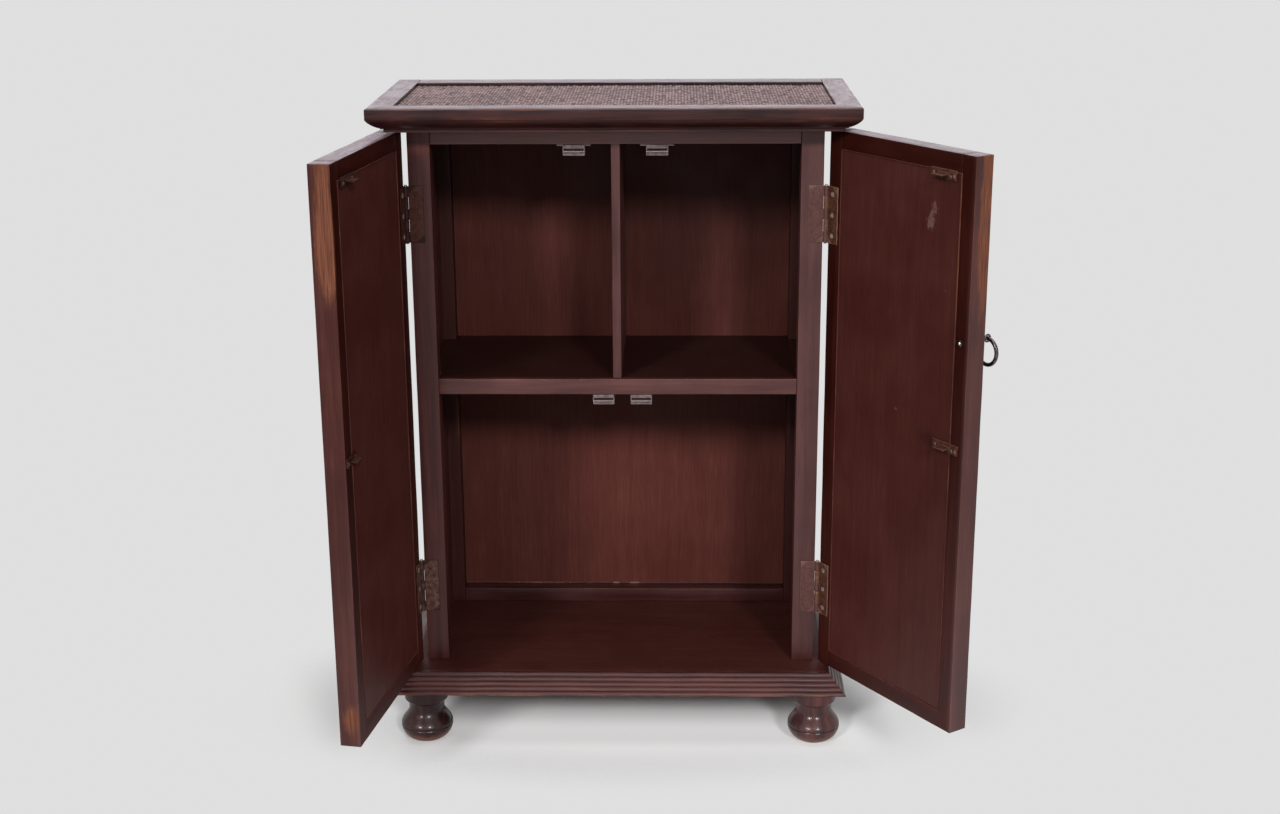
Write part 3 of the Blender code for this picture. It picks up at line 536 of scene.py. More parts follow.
class Graph:
    """Shader nodes of one material, added by short calls that return sockets."""

    def __init__(self, name: str) -> None:
        """Start a material with its Principled shader.

        Args:
            name: its name.
        """
        self.material = bpy.data.materials.new(name)
        self.material.use_nodes = True
        self.tree = self.material.node_tree
        self.shader = self.tree.nodes["Principled BSDF"]

    def put(self, socket: Socket, value: object) -> None:
        """Link a socket to another, or set its value.

        Args:
            socket: the socket that takes the value.
            value: another socket, a number, a vector or a colour.
        """
        if isinstance(value, Socket):
            self.tree.links.new(value, socket)
        elif isinstance(value, tuple) and len(value) == 3 and socket.type == "RGBA":
            socket.default_value = (*value, 1.0)
        else:
            socket.default_value = value

    def add(self, kind: str, inputs: dict[object, object], output: object = 0,
            **settings: object) -> Socket:
        """Add a node.

        Args:
            kind: the node's type, without the words that all shader nodes share.
            inputs: a value or another node's socket for each input, by name or number.
            output: the output that is used.
            **settings: the node's properties.

        Returns:
            That output.
        """
        item = self.tree.nodes.new("ShaderNode" + kind)
        for key, value in settings.items():
            setattr(item, key, value)
        for key, value in inputs.items():
            self.put(item.inputs[key], value)
        return item.outputs[output]

    def attribute(self, name: str, output: str = "Fac") -> Socket:
        """One of the mesh's own attributes."""
        return self.add("Attribute", {}, output, attribute_name=name)

    def place(self) -> Socket:
        """Position on the object."""
        return self.add("TexCoord", {}, "Object")

    def math(self, operation: str, first: object, second: object = 0.0,
             clamp: bool = False) -> Socket:
        """One sum of two numbers, held between 0 and 1 where it is clamped."""
        return self.add("Math", {0: first, 1: second}, operation=operation, use_clamp=clamp)

    def stretch(self, vector: Socket, factors: Triple) -> Socket:
        """A vector with each of its parts multiplied."""
        return self.add("VectorMath", {0: vector, 1: factors}, operation="MULTIPLY")

    def noise(self, vector: Socket, scale: float, detail: float = 2.0, roughness: float = 0.5,
              distortion: float = 0.0) -> Socket:
        """Cloudy noise of about 0.3 to 0.7, with scale swells to the metre."""
        return self.add("TexNoise", {"Vector": vector, "Scale": scale, "Detail": detail,
                                     "Roughness": roughness, "Distortion": distortion})

    def drawn(self, grain: Socket, along: float, scale: float, detail: float = 2.0,
              roughness: float = 0.5, distortion: float = 0.0) -> Socket:
        """Noise drawn out along the grain, where its scale is multiplied by a small number."""
        vector = self.stretch(grain, (1.0, 1.0, along))
        return self.noise(vector, scale, detail, roughness, distortion)

    def near_arris(self, reach: float) -> Socket:
        """1 on an arris, down to 0 at the reach from it."""
        away = self.math("DIVIDE", self.attribute(Mark.ARRIS.label), reach)
        return self.math("SUBTRACT", 1.0, away, clamp=True)

    def step(self, value: object, low: float, high: float, first: float = 0.0,
             last: float = 1.0) -> Socket:
        """Smooth step from first, where the value is low, to last, where it is high."""
        return self.add("MapRange", {0: value, 1: low, 2: high, 3: first, 4: last},
                        interpolation_type="SMOOTHSTEP")

    def ramp(self, factor: object, stops: list[tuple[float, Colour]]) -> Socket:
        """Colours along a scale.

        Args:
            factor: place on the scale.
            stops: places of the pure colours, in rising order.

        Returns:
            The colour.
        """
        colour = self.add("ValToRGB", {0: factor})
        elements = colour.node.color_ramp.elements
        while len(elements) < len(stops):
            elements.new(0.5)
        for element, (place, pure) in zip(elements, stops):
            element.position, element.color = place, (*pure, 1.0)
        return colour

    def blend(self, factor: object, first: object, second: object) -> Socket:
        """Colour between two others."""
        return self.add("Mix", {0: factor, 6: first, 7: second}, 2, data_type="RGBA")

    def bump(self, height: object, distance: float, strength: float) -> None:
        """Give the shader a normal that is tilted by a height."""
        normal = self.add("Bump", {"Strength": strength, "Distance": distance, "Height": height})
        self.put(self.shader.inputs["Normal"], normal)

    def scaled(self, colour: object, factor: object) -> Socket:
        """A colour multiplied by a number."""
        return self.add("VectorMath", {0: colour, "Scale": factor}, operation="SCALE")

    def finish(self, sockets: dict[str, object]) -> None:
        """Set the shader's sockets, given by name."""
        for name, value in sockets.items():
            self.put(self.shader.inputs[name], value)


@dataclass(frozen=True)
class Finish:
    """A surface finish, made into a material the first time that it is used."""

    name: str

    @cache
    def material(self) -> bpy.types.Material:
        """Make the finish's one material, or find it again.

        Returns:
            The material.
        """
        graph = Graph(self.name)
        self.build(graph)
        return graph.material

    def build(self, graph: Graph) -> None:
        """Fill the graph."""
        raise NotImplementedError


@dataclass(frozen=True)
class Wood(Finish):
    """Stained and varnished wood, rubbed through along its arrises and where hands held it."""

    dark: Colour = (0.030, 0.007, 0.006)
    middle: Colour = (0.050, 0.012, 0.011)
    light: Colour = (0.076, 0.021, 0.018)
    bare: Colour = (0.170, 0.055, 0.030)
    roughness: float = 0.36
    reach: float = 0.0014       # how far from an arris the varnish may be rubbed through
    rubbing: float = 0.3        # how much of the arrises is rubbed through
    gloss: float = 0.5
    coat: float = 0.0
    coat_roughness: float = 0.10
    contrast: float = 0.13      # half the span of the grain's scale; smaller is stronger
    bloom: float = 0.0          # lilac haze at low angles
    fine: float = 0.27          # share of the fine fibres in the grain
    fibre: float = 900.0        # fibres to the metre, across the grain

    def grain_colour(self, graph: Graph, grain: Socket, fibres: Socket, cloud: Socket) -> Socket:
        """Colour of the stained grain.

        Args:
            graph: the material's nodes.
            grain: place in the board, with its last part along the grain.
            fibres: fine noise along the grain.
            cloud: broad noise.

        Returns:
            The colour, dark in the pores.
        """
        broad = 0.28
        figure = graph.drawn(grain, 0.045, 85.0, detail=4.0, roughness=0.55, distortion=0.5)
        tone = graph.math("ADD", graph.math("MULTIPLY", figure, 1 - broad - self.fine),
                          graph.math("MULTIPLY", fibres, self.fine))
        tone = graph.math("ADD", tone, graph.math("MULTIPLY", cloud, broad))
        colour = graph.ramp(tone, [(0.5 - self.contrast, self.dark), (0.5, self.middle),
                                   (0.5 + self.contrast, self.light)])
        colour = graph.scaled(colour, graph.math("ADD", 1.0, graph.attribute(Mark.TONE.label)))
        # Grey haze: old polish, and painted sheen where the surface would mirror the floor or
        # surround.
        colour = graph.blend(graph.attribute(Mark.HAZE.label), colour, POLISH_HAZE_AND_SHEEN)
        pores = graph.drawn(grain, 0.05, 1900.0, detail=1.0)
        return graph.blend(graph.step(pores, 0.66, 0.76, 0.0, 0.5), colour, self.dark)

    def rubbed(self, graph: Graph, fibres: Socket, rub: Socket,
               colour: Socket) -> tuple[Socket, Socket]:
        """Show bare wood along the arrises and where hands held the piece.

        Args:
            graph: the material's nodes.
            fibres: fine noise along the grain.
            rub: patchy noise.
            colour: colour of the varnished wood.

        Returns:
            The colour with the bare wood, and 1 where the wood is bare.
        """
        near = graph.near_arris(self.reach)
        easier = 0.5 * self.rubbing
        edge = graph.step(graph.math("ADD", near, graph.math("MULTIPLY", rub, 1.4)), 1.65 - easier,
                          2.05 - easier)
        palm = graph.step(graph.math("ADD", graph.attribute(Mark.WORN.label), rub), 0.70, 1.15)
        wear = graph.math("MAXIMUM", edge, palm)
        bare = graph.blend(graph.step(fibres, 0.3, 0.7), tuple(0.45 * part for part in self.bare),
                           tuple(1.35 * part for part in self.bare))
        return graph.blend(graph.math("MULTIPLY", wear, 0.85), colour, bare), wear

    def build(self, graph: Graph) -> None:
        """Grain from noise stretched along it, then wear, darkening in hollows that is partly painted
        shade, pale scuff marks and fine scratches over it.

        Args:
            graph: the material's nodes.
        """
        grain = graph.attribute("grain", "Vector")
        fibres = graph.drawn(grain, 0.025, self.fibre, detail=3.0, roughness=0.6)
        cloud = graph.noise(grain, 11.0, detail=3.0)
        rub = graph.drawn(grain, 0.25, 110.0, detail=7.0, roughness=0.7)
        colour = self.grain_colour(graph, grain, fibres, cloud)
        colour, wear = self.rubbed(graph, fibres, rub, colour)

        # Hollows darken: grime in quirks, and painted shade under the cornice.
        hollow = graph.math("MULTIPLY", graph.attribute(Mark.HOLLOW.label), 0.85)
        colour = graph.blend(hollow, colour, GRIME_AND_SHADE)
        blot = graph.drawn(grain, 0.6, 330.0, detail=5.0, roughness=0.65)
        blot = graph.math("MULTIPLY", blot, 1.6)
        blot = graph.math("ADD", graph.attribute(Mark.DUST.label), blot)
        colour = graph.blend(graph.step(blot, 1.30, 1.60, 0.0, 0.50), colour, SCUFF)

        hairs = graph.noise(graph.stretch(grain, (0.35, 1.0, 0.01)), 420.0, detail=1.0)
        scratch = graph.math("ABSOLUTE", graph.math("SUBTRACT", hairs, 0.5))
        scratch = graph.step(scratch, 0.0, 0.006, 1.0, 0.0)
        flaw = graph.math("MAXIMUM", wear, scratch)
        dull = graph.step(cloud, 0.35, 0.65, self.roughness - 0.05, self.roughness + 0.08)
        dull = graph.math("ADD", dull, graph.math("MULTIPLY", flaw, 0.12))
        sunk = graph.math("MULTIPLY", graph.math("ADD", scratch, wear), 0.35)
        graph.bump(graph.math("SUBTRACT", fibres, sunk), distance=0.00020, strength=0.5)
        sockets = {"Base Color": colour, "Roughness": dull, "Specular IOR Level": self.gloss}
        if self.coat:
            whole = graph.math("SUBTRACT", graph.step(rub, 0.60, 0.38, 0.35, 1.0),
                               graph.math("MULTIPLY", flaw, 0.6))
            sockets["Coat Weight"] = graph.math("MULTIPLY", whole, self.coat, clamp=True)
            sockets["Coat Roughness"] = self.coat_roughness
        if self.bloom:
            sockets.update({"Sheen Weight": self.bloom, "Sheen Roughness": 0.35,
                            "Sheen Tint": LILAC})
        graph.finish(sockets)


@dataclass(frozen=True)
class Cane(Finish):
    """Woven cane, darker in its gaps and paler on its ridges."""

    gap: Colour = (0.012, 0.005, 0.005)
    strand: Colour = (0.072, 0.036, 0.036)
    ridge: Colour = (0.400, 0.274, 0.284)

    def build(self, graph: Graph) -> None:
        """Colour by height in the weave, with fibres along the strands.

        Args:
            graph: the material's nodes.
        """
        place = graph.place()
        height = graph.attribute(Mark.STRAND.label)
        fibres = graph.noise(graph.stretch(place, (1.0, 0.12, 1.0)), 1400.0, 3.0, 0.6)
        patch = graph.noise(place, 22.0, 3.0)
        tone_shift = graph.math("MULTIPLY", graph.math("SUBTRACT", patch, 0.5), 0.35)
        lift = graph.math("ADD", height, tone_shift)
        streaked = graph.math("MULTIPLY", graph.math("SUBTRACT", fibres, 0.5), 0.8)
        lift = graph.math("ADD", lift, streaked)
        colour = graph.ramp(lift, [(0.26, self.gap), (0.52, self.strand), (0.92, self.ridge)])
        graph.bump(fibres, 0.0002, 0.6)
        graph.finish({"Base Color": colour, "Specular IOR Level": 0.3,
                      "Roughness": graph.step(patch, 0.3, 0.7, 0.42, 0.58)})


@dataclass(frozen=True)
class Metal(Finish):
    """Metal dulled by age, with edges of their own colour and dirt in patches: rubbed brighter on
    most, painted dark as shade round the varnished leaves.
    """

    base: Colour = (0.20, 0.12, 0.06)
    tarnish: Colour = (0.045, 0.026, 0.018)
    edge_wear_and_shade: Colour = (0.55, 0.42, 0.28)
    roughness: float = 0.38
    metallic: float = 1.0
    spread: float = 0.5
    edge: float = 0.0008        # width of the arrises' own colour
    gloss: float = 0.5

    def build(self, graph: Graph) -> None:
        """Two tones by patches of noise, another along the arrises, pitted in relief.

        Args:
            graph: the material's nodes.
        """
        place = graph.place()
        patch = graph.noise(place, 160.0, 5.0, 0.65)
        pits = graph.noise(place, 1300.0)
        cover = graph.step(patch, self.spread - 0.18, self.spread + 0.18)
        colour = graph.blend(cover, self.base, self.tarnish)
        edge = graph.step(graph.math("ADD", graph.near_arris(self.edge), patch), 0.95, 1.35)
        colour = graph.blend(graph.math("MULTIPLY", edge, 0.7), colour, self.edge_wear_and_shade)
        graph.bump(graph.math("ADD", pits, patch), 0.00012, 0.6)
        roughness = graph.step(patch, 0.3, 0.7, self.roughness - 0.08, self.roughness + 0.12)
        graph.finish({"Base Color": colour, "Roughness": roughness,
                      "Metallic": self.metallic, "Specular IOR Level": self.gloss})


@dataclass(frozen=True)
class FloorPaint(Finish):
    """The studio's pale floor, which gives way to the surround away from the cabinet."""

    colour: Colour = (0.80, 0.80, 0.80)
    centre: Triple = (MIDDLE, 0.12, 0.0)
    squeeze: Triple = (0.75, 1.6, 1.0)
    kept: float = 0.25          # radius of the plain floor, once squeezed
    gone: float = 0.48          # radius at which only the surround is seen
    lift: float = 0.26          # painted light: glow under the front of the case, where the overhead lamp is blocked
    lift_x: tuple[float, ...] = (-0.02, 0.04, 0.54, 0.70)   # where it starts, is whole, fades, ends
    lift_y: tuple[float, ...] = (-0.150, 0.030, 0.020, 0.090)

    def build(self, graph: Graph) -> None:
        """A matt surface that turns clear with distance from the cabinet, and glows as painted light
        under the front of the case.

        Args:
            graph: the material's nodes.
        """
        middle = tuple(np.multiply(self.centre, self.squeeze))
        away = graph.add("VectorMath", {0: graph.stretch(graph.place(), self.squeeze), 1: middle},
                         "Value", operation="DISTANCE")
        fade = graph.add("MixShader", {0: graph.step(away, self.kept, self.gone),
                                       1: graph.shader.outputs[0],
                                       2: graph.add("BsdfTransparent", {})})
        graph.put(graph.tree.nodes["Material Output"].inputs["Surface"], fade)
        x = graph.add("SeparateXYZ", {0: graph.place()}, "X")
        y = x.node.outputs["Y"]
        aside = graph.math("MULTIPLY", graph.step(x, *self.lift_x[:2]),
                           graph.step(x, *self.lift_x[2:], 1.0, 0.0))
        deep = graph.math("MULTIPLY", graph.step(y, *self.lift_y[2:], self.lift, 0.0),
                          graph.step(y, *self.lift_y[:2]))
        graph.finish({"Base Color": self.colour, "Roughness": 0.9, "Specular IOR Level": 0.0,
                      "Emission Color": (1.0, 1.0, 1.0),
                      "Emission Strength": graph.math("MULTIPLY", aside, deep)})


VARNISH = Wood("dark_varnish", dark=(0.034, 0.0075, 0.0065), middle=(0.058, 0.014, 0.0125),
               light=(0.088, 0.024, 0.021), gloss=0.36)
CORNICE = Wood("cornice_varnish", dark=(0.0155, 0.0033, 0.0030), middle=(0.0265, 0.0058, 0.0056),
               light=(0.050, 0.0125, 0.0112), bare=(0.150, 0.048, 0.022), roughness=0.34,
               rubbing=0.15, gloss=0.25, contrast=0.050, fine=0.50, fibre=430.0)
# Upward faces: lighter and lilac, partly the real polish and sheen, partly painted reflection of the
# bright surround.
TOP_POLISH_AND_GLARE = Wood("top_polish", dark=(0.020, 0.005, 0.006), middle=(0.080, 0.030, 0.040),
                  light=(0.160, 0.085, 0.110), roughness=0.30, rubbing=0.1, gloss=0.35, coat=0.85,
                  coat_roughness=0.12, contrast=0.12, bloom=0.50)
EDGE_VARNISH = Wood("edge_varnish", dark=(0.045, 0.010, 0.009), middle=(0.074, 0.022, 0.020),
                    light=(0.110, 0.038, 0.034), rubbing=0.4)
HAND_WORN = Wood("hand_worn_varnish", dark=(0.036, 0.007, 0.006), middle=(0.058, 0.013, 0.010),
                 light=(0.092, 0.026, 0.020), rubbing=0.5, bare=(0.220, 0.074, 0.038), gloss=0.25)
FRAME_STAIN = Wood("door_frame_stain", dark=(0.020, 0.0027, 0.0014), middle=(0.032, 0.0046, 0.0024),
                   light=(0.048, 0.008, 0.0045), roughness=0.48, rubbing=0.25, gloss=0.10)
STAIN = Wood("inner_stain", dark=(0.048, 0.0105, 0.0075), middle=(0.080, 0.0200, 0.0150),
             light=(0.120, 0.036, 0.028), roughness=0.52, rubbing=0.2, gloss=0.15, contrast=0.24,
             fine=0.46)
PANEL_STAIN = Wood("door_panel_stain", dark=(0.050, 0.0100, 0.0072), middle=(0.070, 0.0158, 0.0120),
                   light=(0.094, 0.024, 0.0185), roughness=0.48, rubbing=0.2, gloss=0.25,
                   contrast=0.17, fine=0.44)
POLISH = Wood("foot_polish", dark=(0.013, 0.0030, 0.0028), middle=(0.029, 0.0068, 0.0062),
              light=(0.064, 0.019, 0.016), roughness=0.26, gloss=0.23, coat=0.18,
              coat_roughness=0.06, rubbing=0.4, contrast=0.08)
WOVEN = Cane("woven_cane")
# Dark edges: painted shade round the leaf, where it is let into the wood.
PAINTED = Metal("varnished_leaf", base=(0.078, 0.026, 0.019), tarnish=(0.042, 0.012, 0.009),
                edge_wear_and_shade=(0.004, 0.001, 0.001), metallic=0.1, roughness=0.45, edge=0.0019, gloss=0.2)
# Dark edges: painted shade round the leaf.
RUBBED = Metal("rubbed_leaf", base=(0.170, 0.082, 0.064), tarnish=(0.050, 0.017, 0.013),
               edge_wear_and_shade=(0.006, 0.002, 0.002), metallic=0.1, roughness=0.45, edge=0.0016, gloss=0.25)
CLOUDED = Metal("clouded_leaf", base=(0.105, 0.040, 0.034), tarnish=(0.055, 0.018, 0.015),
                edge_wear_and_shade=(0.24, 0.12, 0.10), metallic=0.1, roughness=0.45, spread=0.56, gloss=0.4)
GILT = Metal("brown_brass", base=(0.180, 0.076, 0.046), tarnish=(0.072, 0.027, 0.018),
             edge_wear_and_shade=(0.56, 0.33, 0.23), metallic=0.4, gloss=0.35)
BRACKET = Metal("strike_brown", base=(0.120, 0.044, 0.030), tarnish=(0.045, 0.014, 0.010),
                edge_wear_and_shade=(0.24, 0.105, 0.065), metallic=0.2, roughness=0.42, gloss=0.3)
STEEL = Metal("dull_steel", base=(0.27, 0.20, 0.20), tarnish=(0.12, 0.078, 0.078),
              edge_wear_and_shade=(0.62, 0.52, 0.52), metallic=0.5)
SCREW = Metal("worn_screw", base=(0.60, 0.50, 0.44), tarnish=(0.26, 0.18, 0.14),
              edge_wear_and_shade=(0.85, 0.78, 0.72), metallic=0.45, roughness=0.28)
IRON = Metal("ring_iron", base=(0.17, 0.14, 0.15), tarnish=(0.045, 0.035, 0.04),
             edge_wear_and_shade=(0.6, 0.56, 0.55), roughness=0.20)
DULL_SCREW = Metal("dull_screw", base=(0.26, 0.155, 0.115), tarnish=(0.10, 0.050, 0.036),
                   edge_wear_and_shade=(0.46, 0.32, 0.26), metallic=0.4)
GLINT = Metal("bright_tip", base=(0.85, 0.82, 0.80), tarnish=(0.5, 0.45, 0.42),
              edge_wear_and_shade=(0.95, 0.93, 0.9), roughness=0.2)


@dataclass(frozen=True)
class Accent:
    """A second finish, for the faces that look one way."""

    finish: Finish
    towards: Triple
    spread: float = 0.6         # least cosine of the angle between a face's normal and that way

    def turned(self, place: Place) -> "Accent":
        """The same accent in the frame of the whole part."""
        return replace(self, towards=tuple(place.axes @ np.array(self.towards)))

    def paint(self, mesh: bpy.types.Mesh) -> None:
        """Give the faces that look this way a material slot of their own.

        Args:
            mesh: the piece's mesh.
        """
        normals = np.empty(3 * len(mesh.polygons), np.float32)
        mesh.polygons.foreach_get("normal", normals)
        slots = np.empty(len(mesh.polygons), np.int32)
        mesh.polygons.foreach_get("material_index", slots)
        chosen = normals.reshape(-1, 3) @ np.array(self.towards) > self.spread
        mesh.materials.append(self.finish.material())
        slots[chosen] = len(mesh.materials) - 1
        mesh.polygons.foreach_set("material_index", slots)


def make(name: str, skin: Skin, finish: Finish, body: str,
         nodes: tuple[str, ...] = (), angle: float = 38.0,
         accents: tuple[Accent, ...] = ()) -> bpy.types.Object:
    """Turn a surface into a finished piece of the cabinet.

    Args:
        name: the piece's name.
        skin: its surface, in the frame of the whole part.
        finish: its finish.
        body: the body that it rides on.
        nodes: nodes that it stands for.
        angle: edges sharper than this, in degrees, stay crisp.
        accents: finishes for the faces that look one way.

    Returns:
        The piece.
    """
    mesh = bpy.data.meshes.new(name)
    mesh.from_pydata(skin.points.tolist(), [], skin.faces)
    shape = bmesh.new()
    shape.from_mesh(mesh)
    bmesh.ops.recalc_face_normals(shape, faces=shape.faces)
    shape.to_mesh(mesh)
    shape.free()
    place = mesh.attributes.new("grain", "FLOAT_VECTOR", "POINT")
    place.data.foreach_set("vector", skin.grain.astype(np.float32).ravel())
    for kind in Mark:
        layer = mesh.attributes.new(kind.label, "FLOAT", "POINT")
        layer.data.foreach_set("value", skin.mark(kind).astype(np.float32))
    mesh.shade_smooth()
    mesh.set_sharp_from_angle(angle=math.radians(angle))
    mesh.materials.append(finish.material())
    for accent in accents:
        accent.paint(mesh)
    piece = bpy.data.objects.new(name, mesh)
    bpy.context.scene.collection.objects.link(piece)
    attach(piece, body)
    if nodes:
        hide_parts(*nodes)
    log.info("%s: %d faces on %s", name, len(mesh.polygons), body)
    return piece


def extent(node: str, place: Place = WHOLE) -> Span:
    """Lowest and highest corner of a node, in a frame of its own.

    Args:
        node: the node's name.
        place: the frame.

    Returns:
        The two corners.
    """
    mesh = frame["nodes"][node].data
    flat = np.empty(3 * len(mesh.vertices), np.float32)
    mesh.vertices.foreach_get("co", flat)
    points = place.inward(flat.reshape(-1, 3).astype(float))
    return points.min(axis=0), points.max(axis=0)


def anchor(joint: str) -> Triple:
    """Where a joint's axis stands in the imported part."""
    return next(item["pos_m"] for item in frame["joints"] if item["name"] == joint)


@dataclass(frozen=True)
class Board:
    """A plain board that stands for a node, in a sub-assembly's own frame."""

    node: str
    low: Array
    high: Array
    along: Axis
    finish: Wood = VARNISH
    radius: float = 0.0008
    patches: tuple[Patch, ...] = ()
    unevenness: float = 0.00012
    step: float = 0.012
    tone: float = 0.0
    accents: tuple[Accent, ...] = ()

    def skin(self) -> Skin:
        """Surface with its tone and its patches.

        Returns:
            The surface, in the sub-assembly's own frame.
        """
        seed = sum(map(ord, self.node))
        surface = slab(self.low, self.high, self.along, self.radius, self.step, seed,
                       self.unevenness)
        surface.marks[Mark.TONE] = np.full(len(surface.points), self.tone)
        return surface.patched(self.patches)

    def dress(self, body: str, place: Place = WHOLE) -> bpy.types.Object:
        """Make the board.

        Args:
            body: the body that it rides on.
            place: the sub-assembly's frame.

        Returns:
            The piece.
        """
        slot = {VARNISH: "varnished_wood", EDGE_VARNISH: "worn_wood"}.get(self.finish, "inner_wood")
        accents = tuple(accent.turned(place) for accent in self.accents)
        return make(self.node + "_board", self.skin().placed(place), self.finish, body,
                    (self.node,), accents=accents)


@dataclass
class Carcase:
    """The fixed box: posts, rails, panels, shelf, divider and base board."""

    arris: float = 0.0010
    lap: float = 0.001          # how far a board runs into its neighbour
    filler: Pair = (0.0011, 0.0026)  # depth and height of the back panel's foot line
    far: float = 2.0            # reach of a patch that runs along a whole rail

    def __post_init__(self) -> None:
        """Read the levels that the boards meet at."""
        self.floor = extent("base_board")[1][2]
        self.roof = extent("top_frame_front")[0][2]

    def between(self, node: str, axis: Axis, first: str, second: str) -> Span:
        """A node's corners, held between two neighbours along one axis.

        Args:
            node: the node.
            axis: the axis along which its tenons run on.
            first: neighbour on the low side.
            second: neighbour on the high side.

        Returns:
            The two corners without the tenons.
        """
        (low, high), along = extent(node), axis.value
        low[along], high[along] = extent(first)[1][along], extent(second)[0][along]
        return low, high

    def posts(self) -> list[Board]:
        """The four corner posts, between the base board and the top frame.

        Returns:
            The front ones, with painted light at the top where the cornice's shadow falls, the right
            one in the lighter edge varnish as painted light; and the rear ones, rubbed inside.
        """
        boards = []
        for row in ("front", "rear"):
            for side in Side:
                node, on_right = f"post_{row}_{side.value}", side is Side.RIGHT
                low, high = extent(node)
                low[2], high[2] = self.floor, self.roof
                if row == "front":
                    finish, tone, lit = VARNISH, -0.05, 1.3
                    if on_right:
                        # The right post takes the lighter edge varnish: painted light.
                        finish, tone, lit = EDGE_VARNISH, -0.07, 0.4
                    # Painted light: a lighter spot at the top, in the cornice's shadow.
                    spots = (Patch((low[0], low[1], self.roof - 0.016), (0.2, 0.02, 0.014), lit,
                                   Mark.TONE),)
                else:
                    finish, tone, near = STAIN, -0.55, low[0] if on_right else high[0]
                    spots = (Patch((near, low[1], 0.40), (0.006, 0.02, 0.05), 0.55),
                             Patch((near, low[1], 0.62), (0.004, 0.02, 0.03), 0.25))
                boards.append(Board(node, low, high, Axis.Z, finish, self.arris, spots, tone=tone))
        return boards

    def rails(self) -> list[Board]:
        """Rails over the doors, along the sides and at the back.

        Returns:
            The rails. The front one is lightened all over as painted light, with painted shade and a
            painted dark line under the cornice, and a grey haze of painted sheen lower down.
        """
        boards = []
        # The front rail's high tone is painted light: it lies in the cornice's shadow.
        for node, finish, tone in (("front_top_rail", EDGE_VARNISH, 1.75),
                                   ("back_top_rail", STAIN, 0.0),
                                   ("back_bottom_rail", VARNISH, -0.30)):
            row = "front" if node.startswith("front") else "rear"
            low, high = self.between(node, Axis.X, f"post_{row}_left", f"post_{row}_right")
            shade, step = (), 0.012
            if row == "front":
                upper, lower = (MIDDLE, low[1], self.roof), (MIDDLE, low[1], low[2])
                # Painted shade under the cornice, a painted dark line at the top, and painted sheen
                # low down.
                shade = (Patch(upper, (self.far, 0.02, 0.0085), -2.4, Mark.TONE),
                         Patch(upper, (self.far, 0.02, 0.0014), 1.0, Mark.HOLLOW),
                         Patch(lower, (self.far, 0.02, 0.012), 0.24, Mark.HAZE))
                step = 0.003
            boards.append(Board(node, low, high, Axis.X, finish, self.arris, shade, step=step,
                                tone=tone))
        for side in Side:
            node = f"side_top_rail_{side.value}"
            low, high = self.between(node, Axis.Y, f"post_front_{side.value}",
                                     f"post_rear_{side.value}")
            boards.append(Board(node, low, high, Axis.Y, VARNISH, self.arris))
        return boards

    def panels(self) -> list[Board]:
        """Side panels, back panel, divider and base board.

        Returns:
            The boards. The back panel has painted light low down and painted shade at the upper
            right.
        """
        worn = (Patch((MIDDLE, 0.0263, 0.68), (0.02, 0.004, 0.12), 0.25),)
        # Painted light low on the back panel, and painted shade at its upper right.
        painted_light_and_shade = (Patch((MIDDLE, 0.2563, 0.32), (0.17, 0.02, 0.15), 0.22, Mark.TONE),
                  Patch((0.400, 0.2563, 0.72), (0.16, 0.02, 0.16), -0.32, Mark.TONE))
        return [Board("side_panel_left", *extent("side_panel_left"), Axis.Z),
                Board("side_panel_right", *extent("side_panel_right"), Axis.Z),
                Board("back_panel", *extent("back_panel"), Axis.Z, STAIN, 0.0004, painted_light_and_shade, 0.0004,
                      0.006),
                Board("divider", *extent("divider"), Axis.Z, EDGE_VARNISH, 0.0012, worn),
                Board("base_board", *extent("base_board"), Axis.X, STAIN, 0.0005, tone=-0.34)]

    def foot_bead(self) -> None:
        """The thin line of filler along the foot of the back panel, chipped pale in places."""
        left, right = extent("post_rear_left")[1][0], extent("post_rear_right")[0][0]
        front, (_, y, z) = extent("back_panel")[0][1], extent("back_bottom_rail")[1]
        skin = slab((left, front - self.filler[0], z), (right, front, z + self.filler[1]), Axis.X,
                    0.0004, 0.003, 31)
        spots = ((0.150, 0.14, 0.35, Mark.WORN), (0.150, 0.14, 0.55, Mark.DUST),
                 (0.262, 0.005, 0.80, Mark.DUST), (0.287, 0.010, 0.80, Mark.DUST))
        skin = skin.patched(tuple(Patch((x, y, z), (reach, 0.01, 0.01), strength, mark)
                                  for x, reach, strength, mark in spots))
        skin.marks[Mark.WORN] *= 1 + 0.5 * ripple(skin.points, 0.05, 33)
        make("back_panel_filler", skin, VARNISH, "case")

    def shelf(self) -> None:
        """The shelf: a board between the posts, and a strip at each end behind the front post."""
        low, high = extent("shelf")
        left, right = extent("post_front_left")[1][0], extent("post_front_right")[0][0]
        front, back = extent("post_front_left")[1][1], extent("post_rear_left")[0][1]
        plans = ((left, low[1], right, high[1], 0.00015),
                 (low[0], front, left + self.lap, back, 0.0),
                 (right - self.lap, front, high[0], back, 0.0))
        skin = joined([slab((x, y, low[2]), (end, far, high[2]), Axis.X, self.arris, seed=3,
                            unevenness=uneven) for x, y, end, far, uneven in plans])
        # Painted shade darkens the top behind the front edge; the edge itself is a little lighter.
        behind = np.clip((skin.points[:, 1] - low[1]) / 0.002, 0.0, 1.0)
        skin.marks[Mark.TONE] = 0.25 - 0.97 * behind
        chipped = np.clip((skin.points[:, 1] - high[1] + 0.0013) / 0.001, 0.0, 1.0)
        skin.marks[Mark.WORN] = chipped * (0.45 + 0.20 * ripple(skin.points, 0.04, 21))
        make("shelf_board", skin, EDGE_VARNISH, "case", ("shelf",),
             accents=(Accent(STAIN, UP),))

    def dress(self) -> None:
        """Make every board of the box."""
        for board in self.posts() + self.rails() + self.panels():
            board.dress("case")
        self.foot_bead()
        self.shelf()


